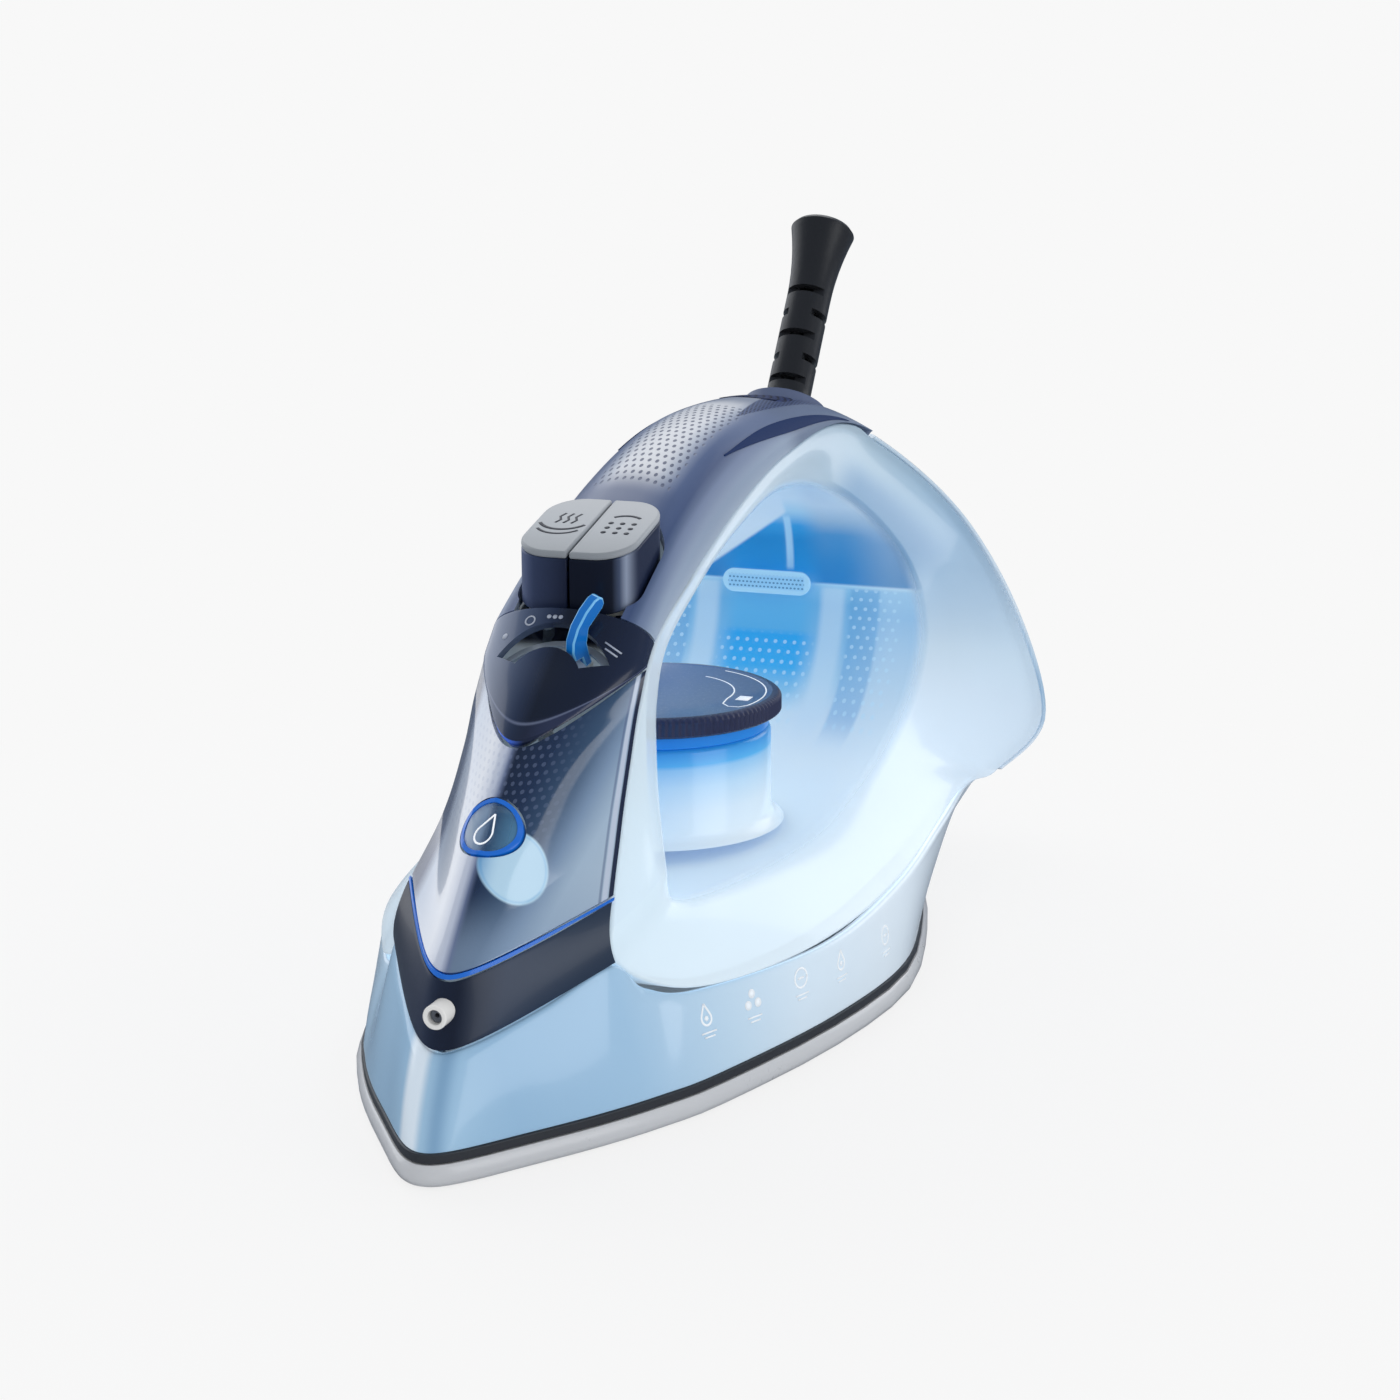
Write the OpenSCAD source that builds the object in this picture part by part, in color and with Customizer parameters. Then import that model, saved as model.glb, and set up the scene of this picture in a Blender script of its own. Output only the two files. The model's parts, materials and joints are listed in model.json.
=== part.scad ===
/* [Soleplate and skirt] */
// Length of the soleplate, tip to heel
sole_length = 232; // [220:1:244]
// Thickness of the soleplate at its rim
sole_rim = 4.6; // [4:0.1:5.2]
// Diameter of one steam hole
steam_hole_d = 3; // [2:0.1:4]
// Height of the dark heat shield above the soleplate
shield_height = 1.9; // [1.5:0.1:2]
// Wall of the lower housing
skirt_wall = 2.2; // [1.6:0.1:2.6]

/* [Water tank and rear cover] */
// Wall of the clear tank moulding
tank_wall = 2.2; // [1.6:0.1:2.6]
// Thickness of the rear cover
rear_cover_wall = 2.6; // [2:0.1:3]
// Clearance between shells that meet at a seam
seam_gap = 0.4; // [0.3:0.05:0.6]

/* [Handle] */
// Wall of the handle shell
handle_wall = 2.2; // [1.6:0.1:2.6]
// Length of the button block along the handle
button_length = 27; // [25:0.5:28]
// Width of the two buttons together
button_width = 26; // [25:0.1:26.6]
// Travel of each button
button_travel = 3.5; // [2.5:0.1:3.5]
// Thickness of the silver button caps
cap_thickness = 1.5; // [1.2:0.1:1.8]

/* [Dial] */
// Diameter of the temperature dial
dial_d = 57; // [52:1:58]
// Thickness of the dial at its rim
dial_rim = 4.5; // [4:0.1:5]
// Diameter of the dial's spindle
spindle_d = 6; // [5:0.1:6.4]
// Running clearance of turning and sliding parts, on the radius
running_gap = 0.08; // [0.05:0.01:0.1]

/* [Cord guard] */
// Length of the cord guard that stands out of the handle
guard_length = 53; // [48:1:60]
// Diameter of the guard's sleeve
guard_d = 12.6; // [12:0.1:13]
// Diameter of the passage for the cord
cord_passage_d = 7; // [6.4:0.1:7.4]

/* [Hidden] */
$fn = 48;

// ---- Curves and lofts ----------------------------------------------------------

function blend(a, b, t) = a + (b - a) * t;
function unit(v) = v / norm(v);
function catmull(a, b, c, d, t) =
    0.5 * (2 * b + (c - a) * t + (2 * a - 5 * b + 4 * c - d) * t * t + (3 * b - a - 3 * c + d) * t * t * t);

// Point at u, from 0 to len(p) - 1, on the smooth curve through the points p.
function along(p, u) =
    let (last = len(p) - 1, i = min(floor(u), last - 1))
    catmull(p[max(i - 1, 0)], p[i], p[i + 1], p[min(i + 2, last)], u - i);

// Point at u, from 0 to len(p), on the smooth closed curve through the points p.
function around(p, u) =
    let (n = len(p), i = floor(u))
    catmull(p[(i + n - 1) % n], p[i % n], p[(i + 1) % n], p[(i + 2) % n], u - i);

// A half outline, from the tip to the middle of the heel, completed by its mirror image.
function both_sides(half) =
    concat(half, [for (i = [len(half) - 2:-1:1]) [half[i].x, -half[i].y, each rest(half[i])]]);
function rest(v) = [for (k = [2:1:len(v) - 1]) v[k]];

// A closed plan outline moved inwards by d, heights kept.
function inset(p, d) =
    let (n = len(p))
    [for (i = [0:n - 1])
        let (t = p[(i + 1) % n] - p[(i + n - 1) % n], s = norm([t.x, t.y]))
        [p[i].x - t.y / s * d, p[i].y + t.x / s * d, each rest(p[i])]];

// Solid through rings of points. Rings that close on themselves make a tube; otherwise the
// ends are capped: flat, with a fan around the ring's middle or, where a ring's two halves
// face each other, with a strip across.
module loft(rings, closed = false, sheet = false, fan = false) {
    n = len(rings);
    m = len(rings[0]);
    top = (n - 1) * m;
    hub = n * m;
    half = m / 2;
    sides = [for (i = [0:n - (closed ? 1 : 2)], j = [0:m - 1])
        let (a = i * m + j, b = i * m + (j + 1) % m,
            c = ((i + 1) % n) * m + (j + 1) % m, d = ((i + 1) % n) * m + j)
        each [[a, b, c], [a, c, d]]];
    flat_caps = [[for (j = [m - 1:-1:0]) j], [for (j = [0:m - 1]) top + j]];
    strip_caps = [for (j = [0:half - 2])
        let (a = j, b = j + 1, c = m - 2 - j, d = m - 1 - j)
        each [[a, c, b], [a, d, c], [top + a, top + b, top + c], [top + a, top + c, top + d]]];
    fan_caps = [for (j = [0:m - 1])
        let (next = (j + 1) % m)
        each [[hub, next, j], [hub + 1, top + j, top + next]]];
    caps = closed ? [] : sheet ? strip_caps : fan ? fan_caps : flat_caps;
    middles = fan ? [middle(rings[0]), middle(rings[n - 1])] : [];
    polyhedron(concat([for (r = rings) each r], middles), concat(sides, caps), convexity = 10);
}
function middle(ring) = [for (p = ring) 1] * ring / len(ring);

// Places children with their +Z along the direction d in the XZ plane, at the point p.
module stand(p, d) {
    translate(p) rotate([0, atan2(d.x, d.z), 0]) children();
}

module ring(outer_d, inner_d, h) {
    difference() {
        cylinder(d = outer_d, h = h);
        translate([0, 0, -1]) cylinder(d = inner_d, h = h + 2);
    }
}

// ---- Soleplate and lower housing -----------------------------------------------

// Half outline of the soleplate, as shares of its length from the middle, and half widths.
sole_half = [for (p = [[116, 0], [114.6, 4], [110, 8.6], [100, 16], [86, 26], [72, 34.3], [56, 41.6],
    [16, 53.6], [-24, 58.6], [-64, 51.5], [-89, 43.5], [-103, 36.5], [-112, 26], [-116, 12], [-116, 0]])
    [p.x * sole_length / 232, p.y]];
sole_steps = 3;
sole_control = both_sides(sole_half);
sole_edge = [for (k = [0:sole_steps * len(sole_control) - 1]) around(sole_control, k / sole_steps)];

// The top edge of the lower housing, point by point above the soleplate's outline.
skirt_top_half = [[106.5, 0, 24], [104.8, 4, 24.6], [99, 9, 26.3], [88.5, 15.6, 29.4], [74, 24, 34],
    [66, 28, 27], [55, 36, 24], [18, 51.4, 23.6], [-22, 56, 25.6], [-60, 55.8, 29.4], [-92, 53, 30],
    [-118, 49, 26], [-130, 36, 22.6], [-134, 18, 22], [-134.5, 0, 22]];
skirt_top_control = both_sides(skirt_top_half);
skirt_top = [for (k = [0:sole_steps * len(sole_control) - 1]) around(skirt_top_control, k / sole_steps)];
shield_z = sole_rim + 0.2;
skirt_z = shield_z + shield_height + 0.2;
skirt_rise = [0, 0.25, 0.6, 1];
skirt_bulge = 0.6;

// A deep inset of the soleplate's outline, without the loops that form at its tip.
function deep_inset(d) =
    [for (q = inset(sole_edge, d)) if (min([for (s = sole_edge) norm(q - s)]) > d - 0.4) q];

function lift(p, z) = [for (q = p) [q.x, q.y, z]];
function skirt_ring(v, d) =
    let (low = lift(inset(sole_edge, 1.6), skirt_z), bulge = skirt_bulge * sin(180 * v))
    inset([for (k = [0:len(low) - 1]) blend(low[k], skirt_top[k], v)], d - bulge);

chamber_z = 14;
chamber_inset = 15;
chamber_wall = 3.5;
steam_rows = [[88, 1, 0], [72, 2, 9], [54, 2, 15], [34, 2, 21], [12, 2, 25], [-12, 2, 28], [-38, 2, 28],
    [-64, 2, 24], [-88, 2, 17]];

module soleplate() {
    color("gainsboro") difference() {
        union() {
            loft([lift(inset(sole_edge, 0.9), sole_rim), lift(sole_edge, sole_rim - 1),
                lift(sole_edge, 1.6), lift(inset(sole_edge, 0.4), 0.5), lift(inset(sole_edge, 1.5), 0)]);
            difference() {
                translate([0, 0, sole_rim - 1])
                    linear_extrude(chamber_z - sole_rim + 1) polygon(deep_inset(chamber_inset));
                translate([0, 0, 8]) linear_extrude(chamber_z)
                    polygon(deep_inset(chamber_inset + chamber_wall));
            }
        }
        for (row = steam_rows, k = [0:row[1] - 1])
            translate([row[0], k == 0 ? row[2] : -row[2], -1]) cylinder(d = steam_hole_d, h = 12);
        for (p = screw_places) translate([p.x, p.y, 5]) cylinder(d = screw_d, h = 12);
    }
}

// Tubular heater, laid as a hairpin on the floor of the casting.
heater_d = 5.4;
heater_z = 10.8;
heater_leg_y = 13;
heater_bend_x = 27;
heater_end_x = -85;
module heating_element() {
    color("dimgray") translate([0, 0, heater_z]) {
        for (s = [-1, 1]) translate([heater_end_x, s * heater_leg_y, 0]) rotate([0, 90, 0])
            cylinder(d = heater_d, h = heater_bend_x - heater_end_x);
        translate([heater_bend_x, 0, 0]) rotate([0, 0, -90]) rotate_extrude(angle = 180)
            translate([heater_leg_y, 0]) circle(d = heater_d);
    }
}

screw_d = 3;
head_d = 5.8;
head_height = 1.2;
module driver_slot() {
    translate([-0.4, -head_d, 0]) cube([0.8, 2 * head_d, 2]);
}
screw_places = [[84, 0], [-32, 37], [-32, -37], [-94, 0]];
lid_z = chamber_z + 0.1;
module steam_chamber_lid() {
    color("silver") difference() {
        translate([0, 0, lid_z]) linear_extrude(1.4) polygon(deep_inset(chamber_inset + 0.5));
        translate([valve_x, 0, 0]) cylinder(d = 7, h = 30);
        for (s = [-1, 1]) translate([-95, s * 9, 0]) cylinder(d = 9, h = 30);
        for (p = screw_places) translate([p.x, p.y, 5]) cylinder(d = screw_d + 0.6, h = 12);
    }
}

module soleplate_screws() {
    color("silver") for (p = screw_places) translate([p.x, p.y, 5.2]) {
        cylinder(d = screw_d - 0.02, h = lid_z + 1.5 - 5.2);
        translate([0, 0, lid_z + 1.5 - 5.2]) difference() {
            cylinder(d = head_d, h = 2 * head_height);
            translate([0, 0, head_height]) driver_slot();
        }
    }
}

shield_band = 9;
module heat_shield() {
    color("#3a3d42") translate([0, 0, shield_z]) difference() {
        linear_extrude(shield_height) polygon(inset(sole_edge, 1.1));
        translate([0, 0, -1]) linear_extrude(shield_height + 2) polygon(deep_inset(shield_band));
    }
}

module lower_housing() {
    color("#a9c7e2") {
        inside = [for (v = skirt_rise) skirt_ring(v, skirt_wall)];
        outside = [for (v = flipped(skirt_rise)) skirt_ring(v, 0)];
        loft(concat(inside, outside), closed = true);
    }
}

thermostat_z = lid_z + 1.6;
dial_x = -16;
module thermostat_body() {
    color("#8c8f94") translate([dial_x, 0, thermostat_z]) difference() {
        union() {
            cylinder(d = 15, h = 3);
            translate([-13, -5, 0]) cube([26, 10, 1.4]);
        }
        translate([0, 0, -1]) cylinder(d = spindle_d + 2 * running_gap, h = 6);
    }
}

module thermal_fuse() {
    color("#b9a27a") translate([-72, 0, thermostat_z + 2]) rotate([0, 90, 0]) {
        cylinder(d = 4, h = 14);
        translate([0, 0, -9]) cylinder(d = 1, h = 32);
    }
}

module steam_valve_seat() {
    color("peru") translate([valve_x, 0, 9.5]) {
        ring(6.8, 3.6, 12);
        translate([0, 0, 6.2]) ring(10, 5, 1.6);
    }
}

// ---- Tank loop around the hand opening ------------------------------------------

// Stations around the hand opening: the opening's edge x and z, its half width, the outer
// edge x and z, its half width, the rounding at the opening, the outer rounding, and how
// far the face towards the opening is dished.
loop_stations = [
    [44, 48, 25.5, 73.5, 41.5, 23.4, 5, 0.8, 1],
    [38, 58, 21.5, 58.5, 57, 19.8, 4, 0.8, 0],
    [35, 69, 19.5, 49.5, 69.5, 18.6, 4, 0.8, 0],
    [33.5, 79, 18.5, 43, 80.5, 18.3, 3, 0.8, 0],
    [26, 88, 17.5, 33, 91, 18, 3, 0.8, 0],
    [6, 96, 17, 10, 100, 17.6, 3, 0.8, 0],
    [-20, 103, 16.5, -25, 110, 17, 4, 0.8, 0],
    [-50, 107, 17, -60, 116.5, 17, 5, 0.8, 0],
    [-78, 104.5, 20, -106, 117, 16.5, 5, 1, 0],
    [-92, 96, 28, -133, 107, 23, 4, 2, 0],
    [-97, 84, 36, -154, 86, 37, 4, 4, 0],
    [-96, 70, 40.5, -164, 58, 50, 4, 5, 0],
    [-89, 58, 41, -167, 30, 56.5, 4, 3, 1],
    [-75, 49, 40.5, -131, 24.2, 53.5, 4, 2, 3],
    [-52, 43, 40.3, -86, 30.6, 53.6, 4, 1, 4],
    [-20, 40, 39, -24, 26.2, 56, 4, 1, 4],
    [12, 39.5, 36.5, 22, 24.2, 50.3, 4, 1, 3],
    [35, 39.5, 32, 56, 24.6, 36, 4, 1, 2],
    [46, 41, 27.5, 71, 32, 25.2, 4, 1, 1.5]];
loop_steps = 3;
loop_turn = len(loop_stations);
loop_count = loop_steps * loop_turn;
loop_corner = [0, 30, 60, 90];
side_bulge = 1.4;
// The rear cover replaces the loop's outermost layer between these two stations.
cover_from = 9 - 1 / loop_steps;
cover_to = 13;

// Width of the loop at the depth a below the opening's edge, on a station of depth l.
function loop_width(s, a, l) = blend(s[2], s[5], a / l) + side_bulge * sin(180 * a / l);
function loop_frame(s) = unit([s[3] - s[0], 0, s[4] - s[1]]);
function loop_half(s, t, trim) =
    let (l = norm([s[3] - s[0], s[4] - s[1]]) - trim, r = max(s[6] - t, 1), q = max(s[7] - t / 2, 0.4),
        w = s[2] - t - r)
    concat(
        [for (k = [0.3, 0.75]) [t + s[8] * (1 - k * k), w * k]],
        [for (g = loop_corner) let (a = t + r * (1 - cos(g)))
            [a, loop_width(s, a, l) - t - r * (1 - sin(g))]],
        [[l / 2, loop_width(s, l / 2, l) - t]],
        [for (g = [90:-30:0]) let (a = l - t - q * (1 - cos(g)))
            [a, loop_width(s, a, l) - t - q * (1 - sin(g))]],
        [[l - t, (s[5] - q) / 2]]);
function loop_ring(s, t, trim) =
    let (h = loop_half(s, t, trim), e = loop_frame(s),
        all = concat(h, [for (k = [len(h) - 1:-1:0]) [h[k].x, -h[k].y]]))
    [for (q = all) [s[0] + e.x * q.x, q.y, s[1] + e.z * q.x]];
function cover_trim(k) =
    k >= cover_from * loop_steps && k <= cover_to * loop_steps ? rear_cover_wall + seam_gap
    : k < 4 * loop_steps ? 2 * seam_gap : seam_gap;
// Rings of the loop's skin, a distance t inside it, from one station to another.
function loop_rings(t, from, to) =
    let (between = [for (k = [ceil(from * loop_steps + 0.01):floor(to * loop_steps - 0.01)]) k / loop_steps])
    [for (u = concat([from], between, [to]))
        loop_ring(around(loop_stations, u), t, cover_trim(round(u * loop_steps) % loop_count))];
module loop_part(from, to, hollow_from, hollow_to) {
    difference() {
        loft(loop_rings(0, from, to), fan = true);
        loft(loop_rings(tank_wall, hollow_from, hollow_to), fan = true);
    }
}

tower_d = 52;
tower_top = 60.5;
tower_foot = 35.4;
// Ports through which the water fills the tower too.
tower_port_d = 8;
tower_port_x = 17;
well_d = 10;
// Stations where the handle's underside and the dry rear housing begin, and where the tank does.
underside_from = 5;
rear_from = 7 + 1 / loop_steps;
tank_from = 14;
end_wall = 0.08;
module both_pumps(z) {
    for (s = [-1, 1]) translate([pump_x, s * pump_y, z]) children();
}
valve_x = 49.5;
rod_d = 3.2;
module water_tank() {
    color("#bfe0f5", 0.6) difference() {
        union() {
            loop_part(tank_from, loop_turn + underside_from, tank_from + end_wall,
                loop_turn + underside_from - 0.5);
            translate([dial_x, 0, tower_foot])
                ring(tower_d, tower_d - 2 * tank_wall, tower_top - tower_foot);
            translate([dial_x, 0, tower_top - 2]) cylinder(d = tower_d, h = 2);
            translate([dial_x, 0, 28]) cylinder(d = well_d + 3, h = tower_top - 28);
            both_pumps(90) cylinder(d = pump_d, h = pump_floor - 90);
        }
        translate([dial_x, 0, 15]) cylinder(d = well_d, h = 60);
        translate([valve_x, 0, 15]) cylinder(d = rod_d + 2, h = 90);
        for (s = [-1, 1]) translate([dial_x + s * tower_port_x, 0, 31]) cylinder(d = tower_port_d, h = 12);
        both_pumps(86.6) translate([outlet_step, 0, 0]) cylinder(d = hose_d + 0.8, h = 10);
        translate([burst_exit.x, burst_exit.y, 20]) cylinder(d = hose_d + 0.8, h = 10);
        translate([64, spray_exit.y, spray_exit.z]) rotate([0, 90, 0]) cylinder(d = hose_d + 1.8, h = 12);
        stand([funnel_in.x, 0, funnel_in.z], funnel_axis) cylinder(d = funnel_bore, h = 20);
    }
}
module handle_underside() {
    color("#bfe0f5", 0.6) loop_part(underside_from, rear_from, underside_from + 0.6, rear_from + end_wall);
}
module turret_hole() {
    stand(guard_foot, guard_axis) translate([0, 0, -turret_depth - 1])
        cylinder(d = turret_d + 1, h = 40);
}
lead_hole_d = 14;
module rear_housing() {
    color("#bfe0f5", 0.6) difference() {
        loop_part(rear_from, tank_from, rear_from + end_wall, tank_from - end_wall);
        translate([lead_exit_x, 0, 20]) cylinder(d = lead_hole_d, h = 16);
        turret_hole();
    }
}

cover_shares = [1, 0.985, 0.94, 0.6, 0.25, -0.25, -0.6, -0.94, -0.985, -1];
cover_drop = [0.62, 0.2, 0, 0, 0, 0, 0, 0, 0.2, 0.62];
function cover_row(s, depth, thin) =
    let (e = loop_frame(s), l = norm([s[3] - s[0], s[4] - s[1]]))
    [for (k = [0:len(cover_shares) - 1])
        let (a = l - depth - (thin == 0 ? cover_drop[k] * rear_cover_wall : 0))
        [s[0] + e.x * a, (s[5] - thin) * cover_shares[k], s[1] + e.z * a]];
module rear_cover() {
    color("#d3e6f4") difference() {
        loft([for (k = [cover_from * loop_steps:cover_to * loop_steps])
            let (s = around(loop_stations, k / loop_steps))
            concat(cover_row(s, 0, 0), flipped(cover_row(s, rear_cover_wall, 0.6)))], sheet = true);
        at_cover_screws() {
            translate([0, 0, -3 * rear_cover_wall]) cylinder(d = screw_d + 0.6, h = 6 * rear_cover_wall);
            translate([0, 0, -head_height - 0.1]) cylinder(d = head_d + 0.4, h = 5);
        }
        turret_hole();
    }
}
cover_screw_y = 30;
module at_cover_screws() {
    s = around(loop_stations, 11 + 1 / loop_steps);
    for (y = [-cover_screw_y, cover_screw_y]) stand([s[3], y, s[4]], loop_frame(s)) children();
}
module rear_cover_screws() {
    color("silver") at_cover_screws() {
        translate([0, 0, 0.3 - rear_cover_wall]) cylinder(d = screw_d, h = 1.6);
        translate([0, 0, -head_height - 0.1]) difference() {
            cylinder(d = head_d, h = head_height);
            translate([0, 0, head_height / 2]) driver_slot();
        }
    }
}

// ---- Handle, control panel and buttons ------------------------------------------

// Crown of the handle at the loop stations 4 to 9, in x and z.
crown = [[38.4, 0, 98.2], [8.5, 0, 115], [-25, 0, 125], [-60, 0, 127.2], [-103, 0, 122.8], [-131, 0, 109]];
arch_steps = 12;
arch_power = 2.05;

function edge_at(u) = let (s = around(loop_stations, u)) [s[3], 0, s[4]];
function half_width_at(u) = around(loop_stations, u)[5];
function arch_share(c) = pow(max(1 - pow(abs(c), arch_power), 0), 1 / arch_power);
function prow_share(c, r) = 1 - (sqrt(c * c + r * r) - r) / (sqrt(1 + r * r) - r);

// A row from the left edge over the crest t to the right edge. e is the edge's place, w the
// half width, r the roundness of a prow, and k blends from a prow, 0, to an arch, 1.
function row(t, e, w, r, k) =
    [for (g = [0:180 / arch_steps:180])
        let (c = cos(g), f = blend(prow_share(c, r), arch_share(c), k))
        [e.x + (t.x - e.x) * f, w * c, e.z + (t.z - e.z) * f]];
function flipped(p) = [for (k = [len(p) - 1:-1:0]) p[k]];
// A sheet section: a row, and inside it a row with the crest moved by v and the edges by thin.
function sheet_row(t, e, w, r, k, v, thin) =
    concat(row(t, e, w, r, k), flipped(row(t + v, e, w - thin, r, k)));

handle_from = 4;
handle_to = 8.58;
handle_rows = 18;
function handle_row(u, out) =
    let (t = along(crown, u - 4))
    row(t + out * unit(t - edge_at(u)), edge_at(u), half_width_at(u) + out, 1, 1);
function handle_section(u, outer, inner) = concat(handle_row(u, outer), flipped(handle_row(u, inner)));

pocket_gap = 0.9;
block_back = 9.5;
block_corner = 8;
block_front = block_back + button_length;
module block_plan(grow) {
    w = button_width / 2 + grow;
    r = block_corner + grow;
    translate([block_back - grow + r, -w]) square([button_length + 2 * grow - 2 * r, 2 * w]);
    translate([block_back - grow, -w + r]) square([button_length + 2 * grow, 2 * w - 2 * r]);
    for (x = [block_back - grow + r, block_front + grow - r], y = [-w + r, w - r])
        translate([x, y]) circle(r = r);
}

module handle_shell() {
    color("#46557f") difference() {
        loft([for (k = [0:handle_rows])
            handle_section(blend(handle_from, handle_to, k / handle_rows), 0, -handle_wall)], sheet = true);
        linear_extrude(200) block_plan(pocket_gap);
        translate([block_front - block_corner, -button_width / 2 - pocket_gap, 50])
            cube([40, button_width + 2 * pocket_gap, 100]);
        turret_hole();
        grip_inlay(1, inlay_cut);
        grip_inlay(-1, inlay_cut);
        grip_patch(inlay_cut);
    }
}

// Thin insert on the side of the handle, with a lens-shaped outline; side is 1 or -1.
inlay_from = 6.25;
inlay_to = 8.25;
inlay_steps = 10;
inlay_share = 0.2;
inlay_tip = 0.04;
inlay_start = 0.4;
inlay_end = 0.17;
inlay_out = 0.4;
inlay_in = 0.9;
inlay_cut = 2;
function inlay_point(u, share, out) =
    let (r = handle_row(u, out), f = share * arch_steps / 2, i = min(floor(f), arch_steps / 2 - 1))
    blend(r[i], r[i + 1], f - i);
module grip_inlay(side, out) {
    sections = [for (k = [0:inlay_steps])
        let (v = k / inlay_steps, u = blend(inlay_from, inlay_to, v),
            h = inlay_tip + inlay_share * sin(180 * v), low = blend(inlay_start, inlay_end, v),
            shares = [for (j = [0:3]) low + h * j / 3])
        concat([for (g = shares) inlay_point(u, g, out)],
            flipped([for (g = shares) inlay_point(u, g, -inlay_in)]))];
    color("#2a3f78") mirror([0, side > 0 ? 0 : 1, 0]) loft(sections, sheet = true);
}
module grip_inlay_left() { grip_inlay(1, inlay_out); }
module grip_inlay_right() { grip_inlay(-1, inlay_out); }

module grip_patch(out) {
    color("#1c2436") loft([for (k = [0:4])
        let (u = blend(patch_from, patch_to, k / 4), r = handle_row(u, out), s = handle_row(u, -inlay_in))
        concat([for (j = [4:8]) r[j]], [for (j = [8:-1:4]) s[j]])], sheet = true);
}
patch_from = 7.42;
patch_to = 7.82;
module rear_grip_patch() { grip_patch(inlay_out); }

panel_crest = [[66, 0, 75.8], [57, 0, 83.2], [47, 0, 90.4], [38.6, 0, 98]];
panel_from = 3.58;
panel_to = 3.97;
panel_slope = unit([0.6, 0, 0.8]);
panel_wall = 2;
disc_centre = [50.5, 0, 84.2];
slot_inner = 8;
slot_outer = 14.2;
slot_span = 124;
module control_panel() {
    rows = [for (k = [0:9]) let (v = k / 9, u = blend(panel_from, panel_to, v))
        sheet_row(along(panel_crest, 3 * v), edge_at(u), half_width_at(u), 0.4, pow(v, 0.6),
            -panel_wall * panel_slope, panel_wall)];
    color("#1d2745") difference() {
        loft(rows, sheet = true);
        stand(disc_centre, panel_slope) rotate([0, 0, 180 - slot_span / 2]) rotate_extrude(angle = slot_span)
            translate([slot_inner, -4]) square([slot_outer - slot_inner, 16]);
    }
}

// One half of the button block; side is 1 for the left half and -1 for the right half.
block_top_front = 109.4;
block_top_back = 116;
block_low = [[block_back, 104], [20, 100.4], [block_front, 96.3]];
split_gap = 0.5;
module block_half(side, low, high) {
    intersection() {
        linear_extrude(200) block_plan(0);
        translate([0, side > 0 ? split_gap / 2 : -20, 0]) cube([60, 20 - split_gap / 2, 200]);
        translate([0, 30, 0]) rotate([90, 0, 0]) linear_extrude(60) polygon(concat(low, high));
    }
}
slope_high = [[block_front, block_top_front], [block_back, block_top_back]];
function lowered(p, d) = [for (q = p) [q.x, q.y - d]];
pump_x = 28.5;
pump_y = 6.9;
pump_d = 10;
pump_bore = 7;
outlet_step = 2;
outlet_length = 3.6;
pump_floor = 95.9;
spring_pressed = 2.2;
function block_top_at(x) = blend(block_top_back, block_top_front, (x - block_back) / button_length);
hollow_top = block_top_at(pump_x + pump_d / 2 + 0.5) - cap_thickness - 0.3;
pump_top = hollow_top - button_travel - 0.9;
piston_low = pump_floor + 1 + spring_pressed + button_travel;

module button_body(side) {
    color("#232d4c") difference() {
        block_half(side, block_low, lowered(slope_high, cap_thickness));
        translate([pump_x, side * pump_y, 80]) cylinder(d = pump_d + 1, h = hollow_top - 80);
    }
}
module button_cap(side) {
    color("silver") block_half(side, flipped(lowered(slope_high, cap_thickness)), slope_high);
}
module piston(side) {
    color("ivory") translate([pump_x, side * pump_y, 0]) {
        translate([0, 0, piston_low]) cylinder(d = pump_bore - 2 * running_gap, h = 3);
        translate([0, 0, piston_low + 2.9]) cylinder(d = 4, h = hollow_top - piston_low - 2.9);
    }
}
module pump_cylinder(side) {
    color("#b7c0cc") translate([pump_x, side * pump_y, pump_floor]) difference() {
        union() {
            cylinder(d = pump_d, h = pump_top - pump_floor);
            translate([outlet_step, 0, -outlet_length]) cylinder(d = hose_d, h = outlet_length);
        }
        translate([0, 0, 1]) cylinder(d = pump_bore, h = 20);
        translate([outlet_step, 0, -outlet_length - 1]) cylinder(d = 1.4, h = outlet_length + 4);
    }
}
// Coil spring in the pump's bore, below the piston.
module pump_spring(side) {
    turns = 3;
    wire = 0.7;
    low = pump_floor + 1.02;
    high = piston_low - 0.02;
    steps = turns * 12;
    mean = pump_bore / 2 - 1;
    color("silver") loft([for (k = [0:steps]) let (g = 360 * turns * k / steps,
        z = blend(low + wire / 2, high - wire / 2, k / steps))
        [for (h = [0:60:300]) [pump_x + (mean + wire / 2 * cos(h)) * cos(g),
            side * pump_y + (mean + wire / 2 * cos(h)) * sin(g), z + wire / 2 * sin(h)]]]);
}
module steam_button() { button_body(-1); }
module steam_button_cap() { button_cap(-1); }
module steam_piston() { piston(-1); }
module steam_pump_cylinder() { pump_cylinder(-1); }
module steam_pump_spring() { pump_spring(-1); }
module spray_button() { button_body(1); }
module spray_button_cap() { button_cap(1); }
module spray_piston() { piston(1); }
module spray_pump_cylinder() { pump_cylinder(1); }
module spray_pump_spring() { pump_spring(1); }

// The steam lever stands in the slot of the control panel, turned to the left at rest.
lever_rest = 27;
lever_radius = 11.4;
lever_thick = 2.4;
arm_low = -4.9;
arm_high = -3.9;
track_slit = 2.8;
track_lap = 0.4;
foot_high = 1;
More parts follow.
